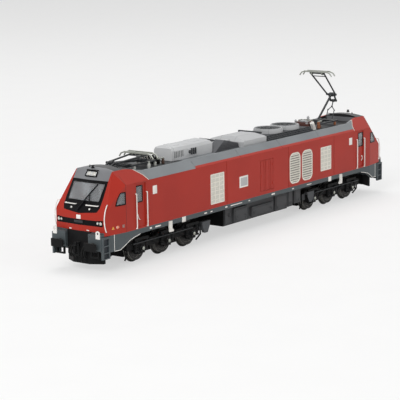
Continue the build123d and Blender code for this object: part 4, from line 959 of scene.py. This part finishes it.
# %% Fan guards
fan_x, fan_spacing, guard_height, spokes = -31.2, 16.2, 47.25, 8
guard_middle = at(fan_x, 0, guard_height)
guard = []
for ring in (2.4, 4.2, 6.0):
    wire = added(bpy.ops.mesh.primitive_torus_add, major_radius=ring * MM, minor_radius=0.14 * MM,
                 major_segments=36, minor_segments=6, location=guard_middle)
    guard.append(settle(wire))
spoke = bent_rod([(r * MM, 0, 0) for r in (0.6, 7.3)], 0.26)
turns = [math.radians((number + 0.5) * 360 / spokes) for number in range(spokes)]
guard += repeated(spoke, [Matrix.Translation(guard_middle) @ Matrix.Rotation(turn, 4, "Z")
                          for turn in turns])
guard.append(turned([(1.0, 0), (1.0, 0.25), (0.7, 0.45), (0.2, 0.5)],
                    at(fan_x, 0, guard_height - 0.1)))
hang("fan_guards", guard + [copied(part, shift(-fan_spacing)) for part in guard], "arm_metal")

# %% [markdown]
# The pantographs stand on ribbed insulators. One is turned with three sheds and copied under every
# corner of both base frames, where the copies take the place of the frame's plain posts.

# %% Pantograph insulators
shed = [(0.85, 0), (0.85, 0.15), (0.55, 0.22), (0.55, 0.38), (0.85, 0.5), (0.85, 0.68),
        (0.55, 0.76), (0.55, 0.92), (0.85, 1.04), (0.85, 1.22), (0.55, 1.3), (0.55, 1.8)]
post = turned(shed, at(0, 0, deck_height), sides=18)
posts = repeated(post, [shift(x, y) for x in (75.0, 91.1) for y in (-5.4, 5.4)])
posts = hang("ribbed_insulators", two_ends(posts), "insulator")
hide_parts("pantograph_insulators")

# %% [markdown]
# Behind the folded pantograph, three stiff pale jumpers rise from its base frame and bow down to
# sockets on the deck. Each is one smooth curve, with a turned socket at its foot.

# %% Roof jumpers
jumper_places = [shift(y=y) for y in (3.2, 1.2, -2.0)]
socket_x = 68.8
bow = [(75.4, 45.0), (76.4, 47.4), (74.4, 48.4), (71.4, 47.0), (69.2, 43.8), (socket_x, 42.9)]
jumper = bent_rod([at(x, 0, z) for x, z in bow], 0.45, smooth=True)
socket = turned([(0.75, 0), (0.75, 0.3), (0.5, 0.45), (0.5, 0.9), (0.35, 1.0)],
                at(socket_x, 0, deck_height), sides=14)
jumpers = repeated(jumper, jumper_places) + repeated(socket, jumper_places)
hang("roof_jumpers", jumpers, "white_trim")

# %% [markdown]
# Around the main switch at the rear stand a leaning white insulator, a grey bushing on the case
# and two more on the conductors. All are turned; the leaning one just faces a slanted way.

# %% Switch gear
ribs = [(1.0, 0.0)]
for number in range(6):
    low = 0.3 + 0.8 * number
    ribs += [(0.75, low), (0.75, low + 0.3), (1.2, low + 0.4), (1.2, low + 0.65)]
ribs += [(0.6, 5.1), (0.6, 5.5), (0.35, 5.6)]
leaning = turned(ribs, at(-67.0, 6.9, deck_height), (3.3, 0, 5.6), 18)
hang("leaning_insulator", [leaning], "white_trim")
bushing = turned([(0.9, 0), (0.9, 0.4), (0.6, 0.5), (0.6, 0.9), (0.9, 1.0), (0.9, 1.3),
                  (0.45, 1.45), (0.45, 1.9), (0.25, 2.0)], at(0, 0, 0), sides=16)
bushings = repeated(bushing, [shift(-63.6, -3.2, 46.0), shift(-71.4, 0, 47.3),
                              shift(-63.8, 3.9, 46.0)])
hang("switch_bushings", bushings, "hood_grey")
link = bent_rod([at(-63.8, 3.9, 47.8), at(-63.2, 5.2, 48.3), at(-64.0, 6.9, 47.6)], 0.4,
                smooth=True)
hang("switch_link", [link], "bare_metal")

# %% [markdown]
# A small horn and an aerial stand on each cab's cap, both turned and black.

# %% Horns on the caps
horn = turned([(0.9, 0), (0.9, 0.4), (0.5, 0.6), (0.5, 0.9), (0.8, 1.1), (0.7, 1.4), (0.3, 1.5)],
              at(116.0, 0.8, 46.35), sides=16)
aerial = turned([(0.6, 0), (0.6, 0.3), (0.25, 0.5), (0.2, 1.1), (0.1, 1.15)],
                at(112.2, -4.2, 46.0), sides=12)
hang("cap_horns", two_ends([horn, aerial]), "mask_black")

# %% [markdown]
# Bolt heads are what makes castings look bolted together. One six-sided head is turned and copied
# round each axlebox cover and on the beam beside each buffer, every copy with its own mesh.

# %% Bolts
def bolt(radius):
    """A six-sided bolt head on its washer."""
    return turned([(radius * 1.4, 0), (radius * 1.4, 0.08), (radius, 0.09), (radius, 0.3),
                   (radius * 0.7, 0.36)], sides=6)


def hang_on_bogies(name, parts, slot):
    """One piece on the front bogie, and its copy turned half round on the rear one."""
    rear_parts = [copied(part, HALF_TURN) for part in parts]
    hang(f"{name}_front", parts, slot, "bogie_front")
    hang(f"{name}_rear", rear_parts, slot, "bogie_rear")


bogie_centre, axle_spacing, axle_height = 76.2, 20.2, 6.15
axles = [bogie_centre + place for place in (-axle_spacing, 0, axle_spacing)]
cover_y, boss_y = 13.9, 14.25  # the axlebox cover and the boss in its middle
bolt_circle = 1.38
bolt_places = []
for turn in (45, 135, 225, 315):
    along = bolt_circle * math.cos(math.radians(turn))
    z = axle_height + bolt_circle * math.sin(math.radians(turn))
    bolt_places += [facing(at(x + along, side * (cover_y - 0.02), z), (0, side, 0))
                    for x in axles for side in (-1, 1)]
hang_on_bogies("axlebox_bolts", repeated(bolt(0.2), bolt_places), "arm_metal")
bolt_places = [facing(at(128.0, y, z), (1, 0, 0)) for y in (7.8, 12.3) for z in (11.0, 16.8)]
hang("beam_bolts", two_ends(two_sides(repeated(bolt(0.26), bolt_places))), "sole_grey")

# %% [markdown]
# Inside each cab a pale cupboard stands in the middle of the rear wall, with a pale column in
# front of it, and a dark instrument panel with small screens tops the desk. They show as soft
# shapes through the glass.

# %% Cab fittings
cupboard = soft_box(at(96.6, -2.0, 24.0), at(99.6, 2.0, 40.6), 0.4)
column = soft_box(at(108.6, -0.9, 30.0), at(109.8, 0.5, 40.5), 0.3)
hang("cab_cupboards", two_ends([cupboard, column]), "white_trim")
panel = soft_box(at(118.2, -1.5, 29.6), at(118.8, 1.5, 31.6), 0.2)
panels = repeated(panel, [shift(y=y) for y in (-6.2, -2.6, 2.6, 6.2)])
hang("desk_screens", two_ends(panels), "mask_black")

# %% [markdown]
# The top lamp sits in its own housing on the slope of the cap: a dark rim follows four corners on
# that slope, and a paler plate fills it, with the two lenses standing out of the plate.

# %% Top lamp housing
housing = [(-3.3, 1.6), (3.3, 1.6), (3.6, -1.6), (-3.6, -1.6)]
rim = seal([on_brow(y, up, 0.15) for y, up in housing], 0.5, 0.5)
visor = bent_rod([on_brow(y, 1.85, 0.3) for y in (-3.6, 3.6)], 0.5)
hang("lamp_housing_rims", two_ends([rim, visor]), "mask_black")
plate = soft_box((-3.3 * MM, -1.6 * MM, -0.15 * MM), (3.3 * MM, 1.6 * MM, 0.2 * MM), 0.1)
axes = Matrix.Identity(4)
for number, axis in enumerate((Vector((0, 1, 0)), brow_up, brow_out)):
    axes.col[number] = (*axis, 0)
plate.data.transform(Matrix.Translation(on_brow(0, 0)) @ axes)
hang("lamp_housing_plates", two_ends([plate]), "hood_grey")

# %% [markdown]
# A blank number plate fills the middle of each lamp bar, and a dark junction box stands under the
# roof jumpers, with a socket for each of them.

# %% Number plate and junction box
number_plate = soft_box(at(nose_x - 0.1, -2.6, 22.2), at(nose_x + 0.22, 2.6, 23.3), 0.08)
hang("blank_number_plates", two_ends([number_plate]), "arm_metal")
junction = [soft_box(at(69.6, -3.6, deck_height - 0.1), at(72.8, 4.4, 45.0), 0.3),
            soft_box(at(70.0, -3.2, 44.9), at(72.4, 4.0, 45.5), 0.2)]
socket = turned([(0.7, 0), (0.7, 0.4), (0.45, 0.6), (0.45, 1.2)], at(71.2, 0, 45.4), sides=14)
hang("jumper_box", junction + repeated(socket, jumper_places), "mask_black")

# %% [markdown]
# Every axlebox ends in a bare cap that catches the light, and a brake pipe runs along each side of
# a bogie, held by small clips.

# %% Axlebox caps and brake pipes
cap = turned([(0.85, 0), (0.85, 0.2), (0.6, 0.4), (0.2, 0.45)], sides=16)
caps = repeated(cap, [facing(at(x, side * boss_y, axle_height), (0, side, 0))
                      for x in axles for side in (-1, 1)])
hang_on_bogies("axlebox_caps", caps, "bare_metal")
pipe_height = 9.2
clip = soft_box(at(0, 12.0, pipe_height - 0.3), at(0.5, 14.0, pipe_height + 0.3), 0.1)
pipes = repeated(clip, [shift(x + beside) for x in axles for beside in (-6.9, 6.4)])
pipes.append(bent_rod([at(bogie_centre + end, 13.85, pipe_height) for end in (-19.5, 27.2)], 0.45))
hang_on_bogies("brake_pipes", two_sides(pipes), "arm_metal")

# %% [markdown]
# From above, the sunken deck carries a walkway on each side: thin ribbed strips, in lengths that
# leave out the hoods. Flat hatches lie on top of the exhaust hood.

# %% Roof details
strips = []
for low, high in ((-24.0, -1.0), (1.0, 24.0), (-86.0, -76.0)):
    strip = soft_box(at(low, -0.12, deck_height - 0.05), at(high, 0.12, deck_height + 0.16), 0.05)
    strips += repeated(strip, [shift(y=y) for y in (8.2, 9.0, 9.8)])
hang("walkway_ribs", two_sides(strips), "roof_grey")
hatch = soft_box(at(-2.2, -3.4, 49.2), at(2.2, 3.4, 49.55), 0.12)
hang("hood_hatches", repeated(hatch, [shift(x) for x in (33.0, 38.5, 55.0)]), "hood_grey")

# %% [markdown]
# The tank and the cases under the floor get what makes them read as tanks: filler caps, a sight
# glass, door handles, and a pair of clipped pipes along the top edge.

# %% Underfloor fittings
tank_side = 13.2
filler = turned([(1.1, 0), (1.1, 0.25), (0.8, 0.4), (0.8, 0.6), (0.5, 0.65)],
                at(0, tank_side - 0.1, 10.0), (0, 1, 0), 18)
fittings = repeated(filler, [shift(24.6), shift(-15.2)])
fittings.append(soft_box(at(7.6, tank_side - 0.1, 5.0), at(8.4, tank_side + 0.35, 11.6), 0.12))
handle = bent_rod([at(x, tank_side + out, 8.6)
                   for x, out in ((0, 1.5), (0, 2.0), (2.0, 2.0), (2.0, 1.5))], 0.25)
fittings += repeated(handle, [shift(x) for x in (11.0, 19.0, -12.0, 3.0)])
hang("underfloor_fittings", two_ends(fittings), "arm_metal")
pipe = bent_rod([at(x, tank_side, 14.1) for x in (-27.0, 27.0)], 0.5)
floor_pipes = repeated(pipe, [shift(y=0.3), shift(y=0.95)])
clip = soft_box(at(-0.3, tank_side - 0.1, 13.75), at(0.3, tank_side + 1.35, 14.5), 0.08)
floor_pipes += repeated(clip, [shift(x) for x in (-24.0, -8.0, 8.0, 24.0)])
hang("underfloor_pipes", two_ends(floor_pipes), "arm_metal")

# %% [markdown]
# Along the sloping sides of the cooler base run thin guard rods, one above the other, on small
# brackets. A dark lip closes the rear end of the grey hood in front of the fans.

# %% Cooler guard rods
base_half = 10.9
rod = bent_rod([at(x, base_half, 0) for x in (-58.6, -14.2)], 0.32)
guard_rods = repeated(rod, [shift(0, -0.15, 43.75), shift(0, -1.15, 44.55), shift(0, -2.15, 45.3)])
bracket = bent_rod([at(0, base_half + out, z)
                    for out, z in ((0.05, 43.4), (-0.15, 43.9), (-2.3, 45.45))], 0.4)
guard_rods += repeated(bracket, [shift(x) for x in (-58.0, -47.0, -36.0, -25.0, -14.8)])
hang("cooler_guard_rods", two_sides(guard_rods), "arm_metal")
lip = soft_box(at(-14.4, -7.4, 46.9), at(-13.2, 7.4, 47.9), 0.2)
hang("hood_lip", [lip], "dark_grey")
